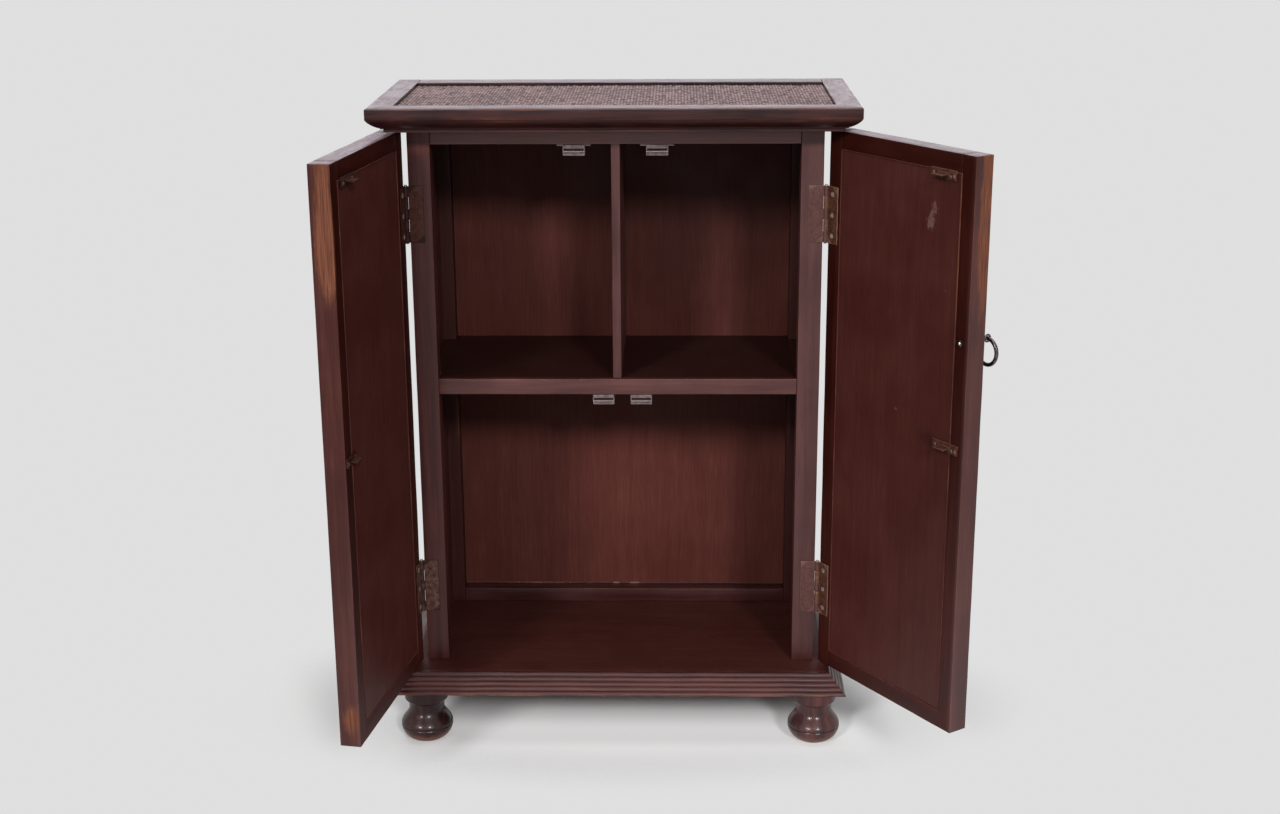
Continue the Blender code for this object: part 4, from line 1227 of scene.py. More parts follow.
@dataclass
class Base:
    """The reeded moulding round the base board, and the turned feet."""

    reeds: int = 5
    land: float = 0.003         # flat top of the moulding
    quirk: float = 0.0011       # depth of the groove between reeds
    rubbed: float = 0.0045      # height up to which the lowest reed is rubbed
    chipped: float = 0.0022     # height up to which it is chipped pale
    pitch: float = 0.0052       # height of a reed's own tone
    collar: float = 0.0305
    collar_high: float = 0.0205
    lip: float = 0.0028         # rounding of the collar's lower edge
    neck: float = 0.0246
    neck_drop: float = 0.033
    ball_drop: float = 0.0575
    foot: float = 0.014         # radius of the flat base
    scribe: float = 0.0010      # depth and half width of the line round the ball
    foot_steps: int = 96

    def outline(self) -> Array:
        """Section of the moulding: a flat land, then equal reeds that step out and down.

        Returns:
            Outward and upward distances, counterclockwise.
        """
        low, high = extent("base_moulding_front")
        width, height = high[1] - low[1], high[2] - low[2]
        rise, run_out = height / self.reeds, (width - self.land) / self.reeds
        parts = [np.array([[0.0, 0.0], [width - 0.0004, 0.0]])]
        for reed in reversed(range(self.reeds)):
            left, top = self.land + reed * run_out, height - reed * rise
            parts.append(quarter((left, top - rise), (run_out, rise), 0.0, 1.0, 9))
            if reed:
                parts.append(np.array([[left - 0.6 * self.quirk, top - 0.25 * self.quirk]]))
        parts.append(np.array([[0.0, height]]))
        return np.concatenate(parts)

    def moulding(self) -> None:
        """The three strips, mitred at the front corners."""
        profile = self.outline()
        front, left, right = (extent(f"base_moulding_{name}")
                              for name in ("front", "left", "right"))
        strips = Strip.round((left[1][0], right[0][0]), front[1][1], right[1][1], front[0][2])
        for number, strip in enumerate(strips):
            skin = run(profile, strip.start, strip.end, strip.flares, 0.008, 50 + number, 0.00025)
            height = skin.points[:, 2]
            lowest = np.clip(1 - height / self.rubbed, 0.0, 1.0)
            skin.marks[Mark.WORN] = lowest * (0.44 + 0.24 * ripple(skin.points, 0.035, 60 + number))
            chips = np.clip(1 - height / self.chipped, 0.0, 1.0)
            skin.marks[Mark.DUST] = chips * (0.50 + 0.30 * ripple(skin.points, 0.045, 65 + number))
            reed = np.floor(height / self.pitch)
            skin.marks[Mark.TONE] = (0.22 * np.sin(7.3 * reed + number)
                                     + 0.15 * ripple(skin.points, 0.09, 90 + number))
            make(f"reeded_moulding_{strip.name}", skin.placed(strip.place), VARNISH, "case",
                 (f"base_moulding_{strip.name}",), 50.0)

    def foot_profile(self, ball: float, high: float) -> Array:
        """Half section of a foot: collar, hollow neck, ball with its scribed line, and flat base.

        Args:
            ball: radius of the ball.
            high: height of the foot.

        Returns:
            Radius and height under the base board, from the top down.
        """
        collar = np.array([[self.collar - 0.0006, 0.0], [self.collar, -0.0008]])
        inner = self.collar - self.lip
        lip = quarter((inner, self.lip - self.collar_high), (self.lip, self.lip), 0.0, -1.0, 8)
        share = np.linspace(0.0, 1.0, 12)[1:, None]
        start = np.array([inner, -self.collar_high])
        end = np.array([self.neck, -self.neck_drop])
        bend = np.array([self.neck, -self.collar_high - 0.002])
        hollow = (1 - share) ** 2 * start + 2 * share * (1 - share) * bend + share ** 2 * end
        drop = np.linspace(0.0, 1.0, 20)[1:]
        swell = np.stack([self.neck + (ball - self.neck) * (1 - np.cos(math.pi * drop)) / 2,
                          -self.neck_drop - (self.ball_drop - self.neck_drop) * drop], axis=-1)
        under = quarter((self.foot, -self.ball_drop), (ball - self.foot, high - self.ball_drop),
                        0.0, -1.0, 24)[1:]
        profile = np.concatenate([collar, lip, hollow, swell, under])
        line = np.exp(-((profile[:, 1] + self.ball_drop) / self.scribe) ** 2)
        profile[:, 0] -= self.scribe * line
        return profile

    def feet(self) -> None:
        """Four feet, rubbed to bare wood under the ball, with painted light and sheen on the right
        and painted shade on the left.
        """
        top = extent("base_board")[0][2]
        for row in ("front", "rear"):
            for side in Side:
                node = f"foot_{row}_{side.value}"
                low, high = extent(node)
                profile = finer(self.foot_profile((high[0] - low[0]) / 2, top - low[2]), 3)
                skin = turning(profile, self.foot_steps, len(node) + side.sign)
                below = -skin.points[:, 2] - self.ball_drop
                # Painted light and sheen on the right feet, painted shade on the left ones.
                tone, haze = (-0.30, 0.015) if side is Side.LEFT else (0.70, 0.10)
                skin.marks[Mark.HOLLOW] = np.exp(-(below / (0.9 * self.scribe)) ** 2)
                skin.marks[Mark.WORN] = np.clip((below - 0.002) / 0.010, 0.0, 1.0) * 0.56
                skin.marks[Mark.TONE] = np.full(len(below), tone)
                skin.marks[Mark.HAZE] = np.full(len(below), haze)
                x, y, _ = (low + high) / 2
                make(f"turned_{node}", skin.placed(Place.upright((x, y, top))), POLISH, "case",
                     (node,), 60.0)

    def dress(self) -> None:
        """Make the moulding and the feet."""
        self.moulding()
        self.feet()


@dataclass
class Top:
    """The moulded frame round the caned top."""

    strip: float = 0.032        # width that shows round the cane
    recess: float = 0.0146      # depth of the rebate for the cane and its board
    face: float = 0.0142        # upright face of the cornice
    top_round: float = 0.0024   # radius of its upper arris
    thumb: Pair = (0.0150, 0.0123)   # the rounding under it goes so far in and down
    bow: Pair = (0.0040, 0.0072)     # the point in and down that it leans to
    fillet: float = 0.0015
    foot: float = 0.0205
    rail: float = 0.073
    arris: float = 0.0011
    mitre: float = 0.0001       # how far a strip stops short of its mitre
    back_step: float = 0.018    # height at which the back strip steps out over the case
    back_inset: float = 0.041   # how far it steps out
    rubbed: float = 0.0155      # depth under the top of the line that is most rubbed
    greyed: float = 0.0095      # depth down to which the face is greyer
    warp: float = 0.0042        # pitch of the strands that run front to back
    weft: float = 0.0041
    relief: float = 0.0015      # from the weave's lowest point to its highest

    def outline(self) -> Array:
        """Section of the cornice and its rebated frame, from the outermost face at x = 0 inward.

        The rounding under the upright face is a curve (1-t)^2 a + 2t(1-t) b + t^2 c from its inner
        end a, over the point b that it leans to, to the face's lower edge c.

        Returns:
            Outward and upward distances, counterclockwise.
        """
        low, high = extent("top_frame_front")
        thick = high[2] - low[2]
        ledge = thick - self.face
        edge, under = -self.thumb[0], ledge - self.thumb[1]
        share = np.linspace(0.0, 1.0, 14)[:, None]
        lean = np.array([-self.bow[0], ledge - self.bow[1]])
        curve = (1 - share) ** 2 * np.array([edge, under]) + 2 * share * (1 - share) * lean
        thumb = curve + share ** 2 * np.array([0.0, ledge])
        radius = self.top_round
        arris = quarter((-radius, thick - radius), (radius, radius), 0.0, 1.0, 6)
        corners = [[-self.strip, thick], [-self.strip, thick - self.recess],
                   [-self.rail, thick - self.recess], [-self.rail, 0.0], [-self.foot, 0.0],
                   [-self.foot, under - self.fillet], [edge - self.fillet, under - self.fillet],
                   [edge - self.fillet, under]]
        return softened(np.concatenate([arris, np.array(corners), thumb]), self.arris)

    def age(self, skin: Skin, depth: Array, number: int) -> None:
        """Rub and grey a strip of the cornice, and paint light on its parts that lie in shade.

        Args:
            skin: the strip.
            depth: how far each point lies under the top.
            number: number that picks its unevenness.
        """
        out, drop = skin.points[:, 0], self.face + self.thumb[1]
        band = np.exp(-((depth - self.rubbed) / 0.0045) ** 2) * (out > -0.012)
        skin.marks[Mark.WORN] = 0.27 * band * (1 + 0.6 * ripple(skin.points, 0.12, 80 + number))
        # Painted light: a highlight line on the fillet, and lighter tone on the thumb's lower half
        # and the face under the fillet, which lie in shade.
        line = np.exp(-((depth - drop - self.fillet / 2) / (0.8 * self.fillet)) ** 2)
        line *= out > -self.foot + 0.001
        lower = np.clip((depth - self.face - 0.004) / 0.005, 0.0, 1.0) * (depth < drop - 0.0005)
        hem = np.clip((depth - drop - self.fillet) / 0.005, 0.0, 1.0) * (out > -self.foot - 0.0005)
        upper = (depth < self.face) * (1 - ripple(skin.points, 0.15, 85 + number))
        skin.marks[Mark.TONE] = 2.8 * line + 0.6 * lower + hem - 0.18 * upper
        grey = np.clip((self.greyed - depth) / 0.002, 0.0, 1.0)
        skin.marks[Mark.HAZE] = 0.04 * grey + 0.05 * hem
        unrubbed = skin.points[:, 2] < 0.002
        skin.marks[Mark.ARRIS] = np.where(unrubbed, 0.002, skin.marks[Mark.ARRIS])

    def frame_strips(self) -> None:
        """Front and side strips, mitred at the front corners, and the plain strip at the back."""
        profile, polish_and_glare = self.outline(), (Accent(TOP_POLISH_AND_GLARE, UP),)
        front, left, right = (extent(f"top_frame_{name}") for name in ("front", "left", "right"))
        strips = Strip.round((left[0][0], right[1][0]), front[0][1], right[1][1], front[0][2],
                             self.mitre)
        for number, strip in enumerate(strips):
            skin = run(profile, strip.start, strip.end, strip.flares, 0.010, 70 + number, 0.00012)
            self.age(skin, front[1][2] - front[0][2] - skin.points[:, 2], number)
            make(f"cornice_{strip.name}", skin.placed(strip.place), CORNICE, "case",
                 (f"top_frame_{strip.name}",), 30.0, polish_and_glare)
        low, high = extent("top_frame_back")
        seam, step = extent("cane_panel")[1][1], low[2] + self.back_step
        upper = slab((low[0], seam, step), high, Axis.X, self.arris, seed=77, unevenness=0.00012)
        lower = slab((low[0] + self.back_inset, low[1], low[2]),
                     (high[0] - self.back_inset, high[1], step + 0.001), Axis.X, self.arris,
                     seed=78)
        # Painted shade: a dark line along the front edge, where the strip meets the cane.
        upper.marks[Mark.TONE] = -0.9 * np.clip(1 - (upper.points[:, 1] - seam) / 0.0008, 0.0, 1.0)
        make("top_strip_back", joined([upper, lower]), CORNICE, "case",
             ("top_frame_back",), accents=polish_and_glare)

    def weave(self) -> None:
        """The cane: flat strands front to back, over and under thinner ones from side to side.

        A strand's height is an arch across its width plus a sine wave along its length, which is
        raised where its neighbours are lowered. The surface is the higher of the two sets.
        """
        low, high = extent("cane_panel")
        wide, deep = high[0] - low[0], high[1] - low[1]
        warps, wefts = round(wide / self.warp), round(deep / self.weft)
        within = np.array([0.05, 0.5, 0.95])[None]
        across = (np.arange(warps)[:, None] + within).ravel()
        ahead = (np.arange(wefts)[:, None] + within).ravel()
        u, v = np.meshgrid(across, ahead, indexing="ij")
        jitter = 0.26 * np.random.default_rng(5).normal(size=(warps, wefts))
        jitter = jitter.repeat(3, axis=0).repeat(3, axis=1)
        arch, bow = (np.sqrt(np.maximum(1 - (2 * (place % 1) - 1) ** 2, 0.0)) for place in (u, v))
        over = 0.55 * arch + 0.45 * np.sin(math.pi * (v + np.floor(u)))
        under = 0.45 * bow + 0.40 * np.sin(math.pi * (u + np.floor(v) + 1)) - 0.1
        height = np.clip((np.maximum(over, under) + jitter * arch + 0.3) / 1.3, 0.0, 1.0)
        x = low[0] + across / warps * wide
        y = low[1] + ahead / wefts * deep
        z = high[2] - self.relief + self.relief * height
        top = np.stack(np.broadcast_arrays(x[:, None], y[None], z), axis=-1).reshape(-1, 3)
        rows, columns = height.shape
        numbers = np.arange(rows * columns).reshape(rows, columns)
        rim = np.concatenate([numbers[:-1, 0], numbers[-1, :-1], numbers[:0:-1, -1],
                              numbers[0, :0:-1]])
        below = top[rim].copy()
        below[:, 2] = low[2]
        foot = len(top) + np.arange(len(rim))
        skirt = np.stack([rim, np.roll(rim, -1), np.roll(foot, -1), foot], axis=-1).tolist()
        points = np.concatenate([top, below])
        strand = np.concatenate([height.ravel(), np.zeros(len(rim))])
        skin = Skin(points, grid_faces(rows, columns) + skirt + [foot.tolist()], points.copy(),
                    {Mark.STRAND: strand})
        make("woven_cane_panel", skin, WOVEN, "case", ("cane_panel",), 75.0)

    def dress(self) -> None:
        """Make the frame, the cane and the board under it."""
        self.frame_strips()
        self.weave()
        Board("top_backing_board", *extent("top_backing_board"), Axis.X, STAIN).dress("case")


@dataclass
class ScrewHead:
    """A slotted screw head that stands a little proud of a countersink."""

    radius: float = 0.0030
    dome: float = 0.0006
    slot: float = 0.13          # half width of the slot over the radius
    slot_deep: float = 0.0006
    sunk: float = 0.0008
    rim: float = 0.0            # height of the head's edge over the countersink's

    def skin(self, place: Place, turn: float) -> Skin:
        """Surface of one head.

        A square grid (u, v) goes to the disc (u sqrt(1 - v v / 2), v sqrt(1 - u u / 2)), domed by
        1 - r r, with the rows of the slot sunk.

        Args:
            place: frame whose own Z points out of the surface.
            turn: angle of the slot.

        Returns:
            The head.
        """
        lip = self.slot + 0.02
        rows = np.array([-1.0, -0.75, -0.45, -lip, -self.slot, self.slot, lip, 0.45, 0.75, 1.0])
        points, faces = lattice((np.linspace(-1.0, 1.0, 11), rows, np.array([0.0, 1.0])))
        u, v, level = points.T
        x, y = u * np.sqrt(1 - v * v / 2), v * np.sqrt(1 - u * u / 2)
        crown = self.rim + self.dome * (1 - x * x - y * y)
        crown -= self.slot_deep * (np.abs(v) <= self.slot)
        height = np.where(level > 0.5, crown, -self.sunk)
        cosine, sine = math.cos(turn), math.sin(turn)
        disc = np.stack([self.radius * (cosine * x - sine * y),
                         self.radius * (sine * x + cosine * y), height], axis=-1)
        arris = self.radius * (1 - np.sqrt(np.minimum(x * x + y * y, 1.0)))
        return Skin(place.outward(disc), faces, disc, {Mark.ARRIS: arris})


@dataclass
class Hinge:
    """One butt hinge: a leaf on the post, a leaf on the door, the pin and the screws."""

    row: str
    side: Side
    door: Place
    knuckles: int = 5
    barrel: float = 0.0032
    soft: float = 0.0004            # rounding of a knuckle's ends
    play: float = 0.0002            # half the gap between knuckles
    tip: float = 0.0024
    rod: float = 0.0014             # radius of the pin between its tips
    plate: float = 0.0010
    plate_start: float = 0.0034     # the plate's edges, from the pin
    plate_end: float = 0.0230
    post_gap: float = 0.0002        # front of the post's plate behind the pin
    door_gap: float = -0.0012       # back of the door's plate before the pin
    screw_from_pin: float = 0.0125
    screw_rows: tuple[float, ...] = (-0.0275, 0.0, 0.0275)

    def __post_init__(self) -> None:
        """Read where the pin stands and how long the hinge is."""
        low, high = extent(f"hinge_{self.row}_{self.side.value}_pin")
        self.centre = (low + high) / 2
        leaf = extent(f"hinge_{self.row}_{self.side.value}_post_leaf")
        self.half = (leaf[1][2] - leaf[0][2]) / 2

    def leaf(self, on_door: bool) -> Skin:
        """Plate, tabs and knuckles of a leaf, with the pin's middle as the origin.

        Args:
            on_door: whether this is the door's leaf.

        Returns:
            The leaf's surface.
        """
        inward = -self.side.sign
        near = self.door_gap if on_door else self.post_gap
        thick = (near, near + self.plate)
        wide = sorted((inward * self.plate_start, inward * self.plate_end))
        parts = [block((wide, thick, (-self.half, self.half)), Axis.Z, 0.0003,
                       len(self.row) + on_door, 0.01)]
        pitch = 2 * self.half / self.knuckles
        tab = sorted((inward * 0.001, inward * (self.plate_start + 0.0006)))
        for knuckle in range(int(on_door), self.knuckles, 2):
            foot = knuckle * pitch - self.half + self.play
            head = (knuckle + 1) * pitch - self.half - self.play
            parts.append(block((tab, thick, (foot, head)), Axis.Z, 0.0002, step=0.01))
            end = self.barrel - self.soft
            tube = turning(np.array([[end, head], [self.barrel, head - self.soft],
                                     [self.barrel, foot + self.soft], [end, foot]]), 28)
            height = tube.points[:, 2]
            tube.marks[Mark.ARRIS] = np.minimum(head - height, height - foot)
            parts.append(tube)
        return joined(parts)

    def screws(self, on_door: bool) -> Skin:
        """Three slotted heads down the middle of a leaf, with the pin's middle as the origin.

        The heads are nearly flush, so that the leaves fold together when the door is closed.

        Args:
            on_door: whether this is the door's leaf.

        Returns:
            The heads.
        """
        x = -self.side.sign * self.screw_from_pin
        head = ScrewHead(dome=0.00009, slot_deep=0.00007, rim=0.00008)
        front = self.door_gap + self.plate if on_door else self.post_gap
        normal = (0.0, 1.0, 0.0) if on_door else (0.0, -1.0, 0.0)
        random = np.random.default_rng(len(self.row) + self.side.sign + 2 * on_door)
        return joined([head.skin(Place.facing(np.array([x, front, z]), normal), turn)
                       for z, turn in zip(self.screw_rows, random.uniform(0.0, math.pi, 3))])

    def dress(self) -> None:
        """Make the leaves, their screws and the pin."""
        stem = f"hinge_{self.row}_{self.side.value}"
        here = Place.upright(tuple(self.centre))
        with_door = Place.upright((0.0, 0.0, self.centre[2])).within(self.door)
        on_left = PAINTED if self.row == "upper" else RUBBED
        for on_door, place, body in ((False, here, "case"),
                                     (True, with_door, f"{self.side.value}_door")):
            part, right = ("door", GILT) if on_door else ("post", CLOUDED)
            finish = right if self.side is Side.RIGHT else on_left
            make(f"{stem}_{part}_plate", self.leaf(on_door).placed(place), finish, body,
                 (f"{stem}_{part}_leaf",))
            make(f"{stem}_{part}_screws", self.screws(on_door).placed(place),
                 SCREW if on_door else finish, body)
        low, high = extent(f"{stem}_pin")
        over = (high[2] - low[2]) / 2 - self.half - self.play
        cap = quarter((0.0, self.half + self.play), (self.tip, over), 0.92, 0.0, 6)
        rod = [[self.rod, self.half], [self.rod, -self.half]]
        pin = turning(np.concatenate([cap, rod, cap[::-1] * (1, -1)]), 24)
        make(f"{stem}_rod", pin.placed(here), SCREW, "case", (f"{stem}_pin",))


@dataclass
class Catch:
    """A spring catch under a rail or shelf: a folded case with two lips, hung from its ears."""

    node: str
    half: float = 0.0145        # half the width of the folded case
    slot_drop: float = 0.0075   # from the rail down to the middle of the slot
    slot_half: float = 0.0015
    lip: float = 0.0022
    ear_thick: float = 0.0026
    cheek: float = 0.0014

    def dress(self) -> None:
        """Make the ears, the case with its lips, its two cheeks and the stop inside."""
        (left, front, foot), (right, back, head) = extent(self.node)
        centre, slot = (left + right) / 2, head - self.slot_drop
        half = min((right - left) / 2, self.half)
        wide = (centre - half, centre + half)
        folds = [((left, right), (front + 0.0015, back - 0.0015), (head - self.ear_thick, head),
                  0.0007),
                 (wide, (front + 0.0006, back), (slot + self.slot_half, head - 0.0008), 0.0009),
                 (wide, (front, back - 0.001),
                  (slot - self.slot_half - self.lip, slot - self.slot_half), 0.0010),
                 (wide, (front + 0.0045, back), (foot, slot - 0.0018), 0.0008)]
        parts = [block(spans, Axis.X, radius, seed)
                 for seed, (*spans, radius) in enumerate(folds, 4)]
        for end in (-1, 1):
            cheek = sorted((centre + end * half, centre + end * (half - self.cheek)))
            parts.append(block((cheek, (front + 0.003, back - 0.001), (slot - 0.003, slot + 0.003)),
                               Axis.Z, 0.0004, 8))
        parts.append(block(((wide[0] + 0.001, wide[1] - 0.001), (back - 0.0028, back - 0.001),
                            (slot - 0.002, slot + 0.002)), Axis.X, 0.0004, 9))
        make(f"{self.node}_case", joined(parts), STEEL, "case", (self.node,))


@dataclass
class Strike:
    """A strike on a door's inner face: a screwed plate with a bent tongue."""

    row: str
    side: Side
    door: Place
    high: float = 0.0128        # height of the plate
    plate: float = 0.0012       # thickness of the plate
    tongue: float = 0.0018
    half: float = 0.010         # half the tongue's width
    bend: float = 0.0016        # how far the tongue's fold stands out
    stop: float = 0.0050        # width of the block at the free edge's end
    stop_deep: float = 0.0020

    def dress(self) -> None:
        """Make the plate, its tongue, the block at its end and its screws."""
        body, out = f"{self.side.value}_door", self.side.sign
        node = f"{body}_strike_{self.row}"
        low, high = extent(node, self.door)
        x, _, z = (low + high) / 2
        face, foot, head = -self.plate, z - self.high / 2, z + self.high / 2
        wide, thin = (x - self.half, x + self.half), self.tongue / 2
        parts = [block(((low[0], high[0]), (face, 0.0), (foot, head)), Axis.X, 0.0005, 11),
                 block((wide, (face + 0.0006, high[1]), (z - thin, z + thin)), Axis.X, 0.0008, 12,
                       0.004)]
        for edge in (-1, 1):
            fold = sorted((z, z + edge * (thin + self.bend)))
            parts.append(block((wide, (face + 0.0008, face + 0.0024), fold), Axis.X, 0.0007, 13))
        end = low[0] if self.side is Side.RIGHT else high[0]
        parts.append(block((sorted((end, end + out * self.stop)), (face + 0.0004, self.stop_deep),
                            (foot + 0.0004, z + 0.003)), Axis.Z, 0.0006, 14))
        finish = BRACKET if self.side is Side.RIGHT else PAINTED
        make(f"{node}_plate", joined(parts).placed(self.door), finish, body, (node,))
        reach = (high[0] - low[0]) / 2 - 0.0050
        screw = ScrewHead(radius=0.0020)
        places = ((x + reach * out, 0.0, z), (x - 0.0118 * out, 0.0, z - 0.002),
                  (x - (reach + 0.002) * out, self.stop_deep, z - 0.001))
        heads = [screw.skin(Place.facing(np.array(place), (0.0, 1.0, 0.0)), 0.6 + turn)
                 for turn, place in enumerate(places)]
        make(f"{node}_screws", joined(heads).placed(self.door), DULL_SCREW, body)


@dataclass
class RingPull:
    """The ring on the right door, its eye, rose and bolt."""

    door: Place
    ring: float = 0.0168
    wire: float = 0.0026
    eye: float = 0.00435
    eye_wire: float = 0.00125
    rose: float = 0.0080
    rose_high: float = 0.0028
    shank: float = 0.0026
    bolt: float = 0.0021        # radius of the bolt's end

    def dress(self) -> None:
        """Make the rose with its eye, the nut and polished tip inside the door, and the ring."""
        low, high = extent("ring_pull_bolt", self.door)
        x, _, z = (low + high) / 2
        pivot = self.door.inward(np.array([anchor("ring_pull_swing")]))[0]
        outer = extent("right_door_lock_stile", self.door)[0][1]
        swell = quarter((0.0, 0.0), (self.rose, self.rose_high), 0.0, 0.82, 10)
        neck = [[self.shank, 0.0034], [self.shank, outer - pivot[1] - self.eye + 0.0004]]
        post = turning(np.concatenate([[[self.rose - 0.0004, 0.0]], swell, neck]), 40)
        loop = hoop(self.eye, self.eye_wire, 40, 14)
        loop.points[:] = loop.points[:, [1, 0, 2]] + pivot
        within = Place.facing(np.array([x, -0.0015, z]), (0.0, 1.0, 0.0))
        nut = turning(np.array([[0.0045, 0.0], [0.0045, 0.0014], [0.0036, 0.0020],
                                [0.0024, 0.0020]]), 6)
        stand = Place.facing(np.array([x, outer, z]), (0.0, -1.0, 0.0))
        skin = joined([post.placed(stand), loop, nut.placed(within)]).placed(self.door)
        make("ring_pull_rose", skin, IRON, "right_door", ("ring_pull_bolt",), 45.0)
        tip = quarter((0.0, 0.0018), (self.bolt, 0.0012), 0.0, 0.9, 6)
        tip = turning(np.concatenate([[[self.bolt, 0.0]], tip]), 20)
        make("ring_pull_bolt_tip", tip.placed(within.within(self.door)), GLINT, "right_door")
        ring = hoop(self.ring, self.wire)
        ring.points[:] += pivot - np.array([0.0, 0.0, self.ring])
        make("ring_pull_hoop", ring.placed(self.door), IRON, "ring",
             ("ring_pull_ring",), 60.0)


# Scuffs, and a painted shadow beside the lower strike, on the right door's panel: place across and
# up, reach, strength and mark.
PANEL_SCUFFS_AND_SHADOW = ((0.047, 0.784, 0.009, 0.013, 0.80, Mark.DUST),
               (0.053, 0.764, 0.010, 0.012, 0.85, Mark.DUST),
               (0.022, 0.690, 0.005, 0.018, 0.55, Mark.DUST),
               (0.105, 0.515, 0.006, 0.005, 0.80, Mark.DUST),
               (0.040, 0.492, 0.016, 0.012, -0.45, Mark.TONE))


@dataclass
class Door:
    """One door: frame, panel with the bead round it, hinges, strikes and any pull."""

    side: Side
    opened: float
    bead: float = 0.0016
    bead_high: float = 0.0005
    bead_sunk: float = 0.0006   # how far the bead runs into the frame
    play: float = 0.0004        # gap round the panel
    seam: float = 0.0001        # gap between a rail and a stile

    def __post_init__(self) -> None:
        """Find the door's own frame, about its pins, with the door drawn closed."""
        self.body = f"{self.side.value}_door"
        x, y, _ = anchor(f"{self.body}_swing")
        self.place = Place.upright((x, y, 0.0), self.side.sign * math.radians(self.opened))

    def part(self, name: str) -> Span:
        """Corners of one of the door's nodes, with the door closed."""
        return extent(f"{self.body}_{name}", self.place)

    def opening(self) -> tuple[float, float, float, float]:
        """Left, right, foot and head of the opening that the panel fills."""
        xs = sorted(end[0] for name in ("hinge_stile", "lock_stile") for end in self.part(name))
        return *xs[1:3], self.part("bottom_rail")[1][2], self.part("top_rail")[0][2]

    def wear(self) -> tuple[Patch, ...]:
        """Where the free edge is rubbed by hands, and where it is paler or carries grey painted
        sheen.

        Returns:
            The patches, made from the height, reach up and down, and strength of each.
        """
        low, high = self.part("lock_stile")
        if self.side is Side.LEFT:
            edge, shift, pale, grey = high[0], 0.004, ((0.50, 0.20, 0.08),), ((0.16, 0.22, 0.07),)
            rubbed = ((0.815, 0.075, 0.66), (0.745, 0.055, 0.90), (0.50, 0.08, 0.12),
                      (0.145, 0.024, 0.72), (0.34, 0.10, 0.08))
        else:
            edge, shift, pale = low[0], -0.008, ((0.42, 0.26, 0.30),)
            grey = ((0.12, 0.26, 0.20), (0.62, 0.30, 0.10))
            rubbed = ((0.82, 0.08, 0.60), (0.74, 0.08, 0.95), (0.47, 0.10, 0.12),
                      (0.25, 0.12, 0.08))
        deep = (low[1] + high[1]) / 2
        kinds = ((grey, deep, (0.003, 0.05), Mark.HAZE),
                 (rubbed, deep + shift, (0.005, 0.013), Mark.WORN),
                 (pale, deep, (0.003, 0.05), Mark.TONE))
        return tuple(Patch((edge, y, z), (*near, reach), strength, mark)
                     for spots, y, near, mark in kinds for z, reach, strength in spots)

    def boards(self) -> list[Board]:
        """Stiles, rails and panel.

        Returns:
            The boards, in the door's own frame.
        """
        hinge, lock = self.part("hinge_stile"), self.part("lock_stile")
        left, right, foot, head = self.opening()
        outside, top = Accent(VARNISH, (0.0, -1.0, 0.0)), Accent(TOP_POLISH_AND_GLARE, UP)
        free = Accent(HAND_WORN, (float(-self.side.sign), 0.0, 0.0))
        inside, base = hinge[1][1], hinge[0][2]
        # Painted light and sheen: the frame is lighter and greyer towards the bottom, where it
        # mirrors the floor.
        tone_shift = (Patch((0.0, inside, base), (9.0, 0.004, 0.25), 0.45, Mark.TONE),
                 Patch((lock[0][0], inside, base), (0.20, 0.004, 0.30), 0.11, Mark.HAZE))
        boards = [Board(f"{self.body}_hinge_stile", *hinge, Axis.Z, FRAME_STAIN, patches=tone_shift,
                        accents=(outside, top)),
                  Board(f"{self.body}_lock_stile", *lock, Axis.Z, FRAME_STAIN, 0.0010,
                        (*self.wear(), *tone_shift), step=0.006, accents=(outside, free, top))]
        for name in ("bottom_rail", "top_rail"):
            low, high = self.part(name)
            low[0], high[0] = left + self.seam, right - self.seam
            boards.append(Board(f"{self.body}_{name}", low, high, Axis.X, FRAME_STAIN,
                                patches=tone_shift, accents=(outside, top)))
        low, high = self.part("panel")
        low[[0, 2]] = left + self.play, foot + self.play
        high[[0, 2]] = right - self.play, head - self.play
        marks = PANEL_SCUFFS_AND_SHADOW if self.side is Side.RIGHT else ()
        scuffs_and_shadow = tuple(Patch((low[0] + x, high[1], z), (wide, 0.004, tall), strength, mark)
                       for x, z, wide, tall, strength, mark in marks)
        boards.append(Board(f"{self.body}_panel", low, high, Axis.Z, PANEL_STAIN, 0.0004, scuffs_and_shadow,
                            0.0002, 0.004, accents=(outside,)))
        return boards

    def bead_ring(self) -> None:
        """A fine bead round the panel on the door's inner face.

        The bead's arch is carried round a rectangle: at a corner the point that stands out by d
        moves by d along both sides, which mitres it.
        """
        left, right, foot, head = self.opening()
        face = self.part("hinge_stile")[1][1] - self.bead_sunk
        arch, half = np.linspace(0.0, math.pi, 9), self.bead / 2
        out = np.concatenate([-half * np.cos(arch), [half, -half]]) - half
        rise = np.concatenate([(self.bead_high + self.bead_sunk) * np.sin(arch) ** 0.8,
                               [-self.bead_sunk, -self.bead_sunk]])
        share = np.linspace(0.0, 1.0, 40, endpoint=False)[None, :, None]
        corners = np.array([[left, foot, -1, -1], [right, foot, 1, -1], [right, head, 1, 1],
                            [left, head, -1, 1]])
        following = np.roll(corners, -1, axis=0)
        path = (corners[:, None] * (1 - share) + following[:, None] * share).reshape(-1, 4)
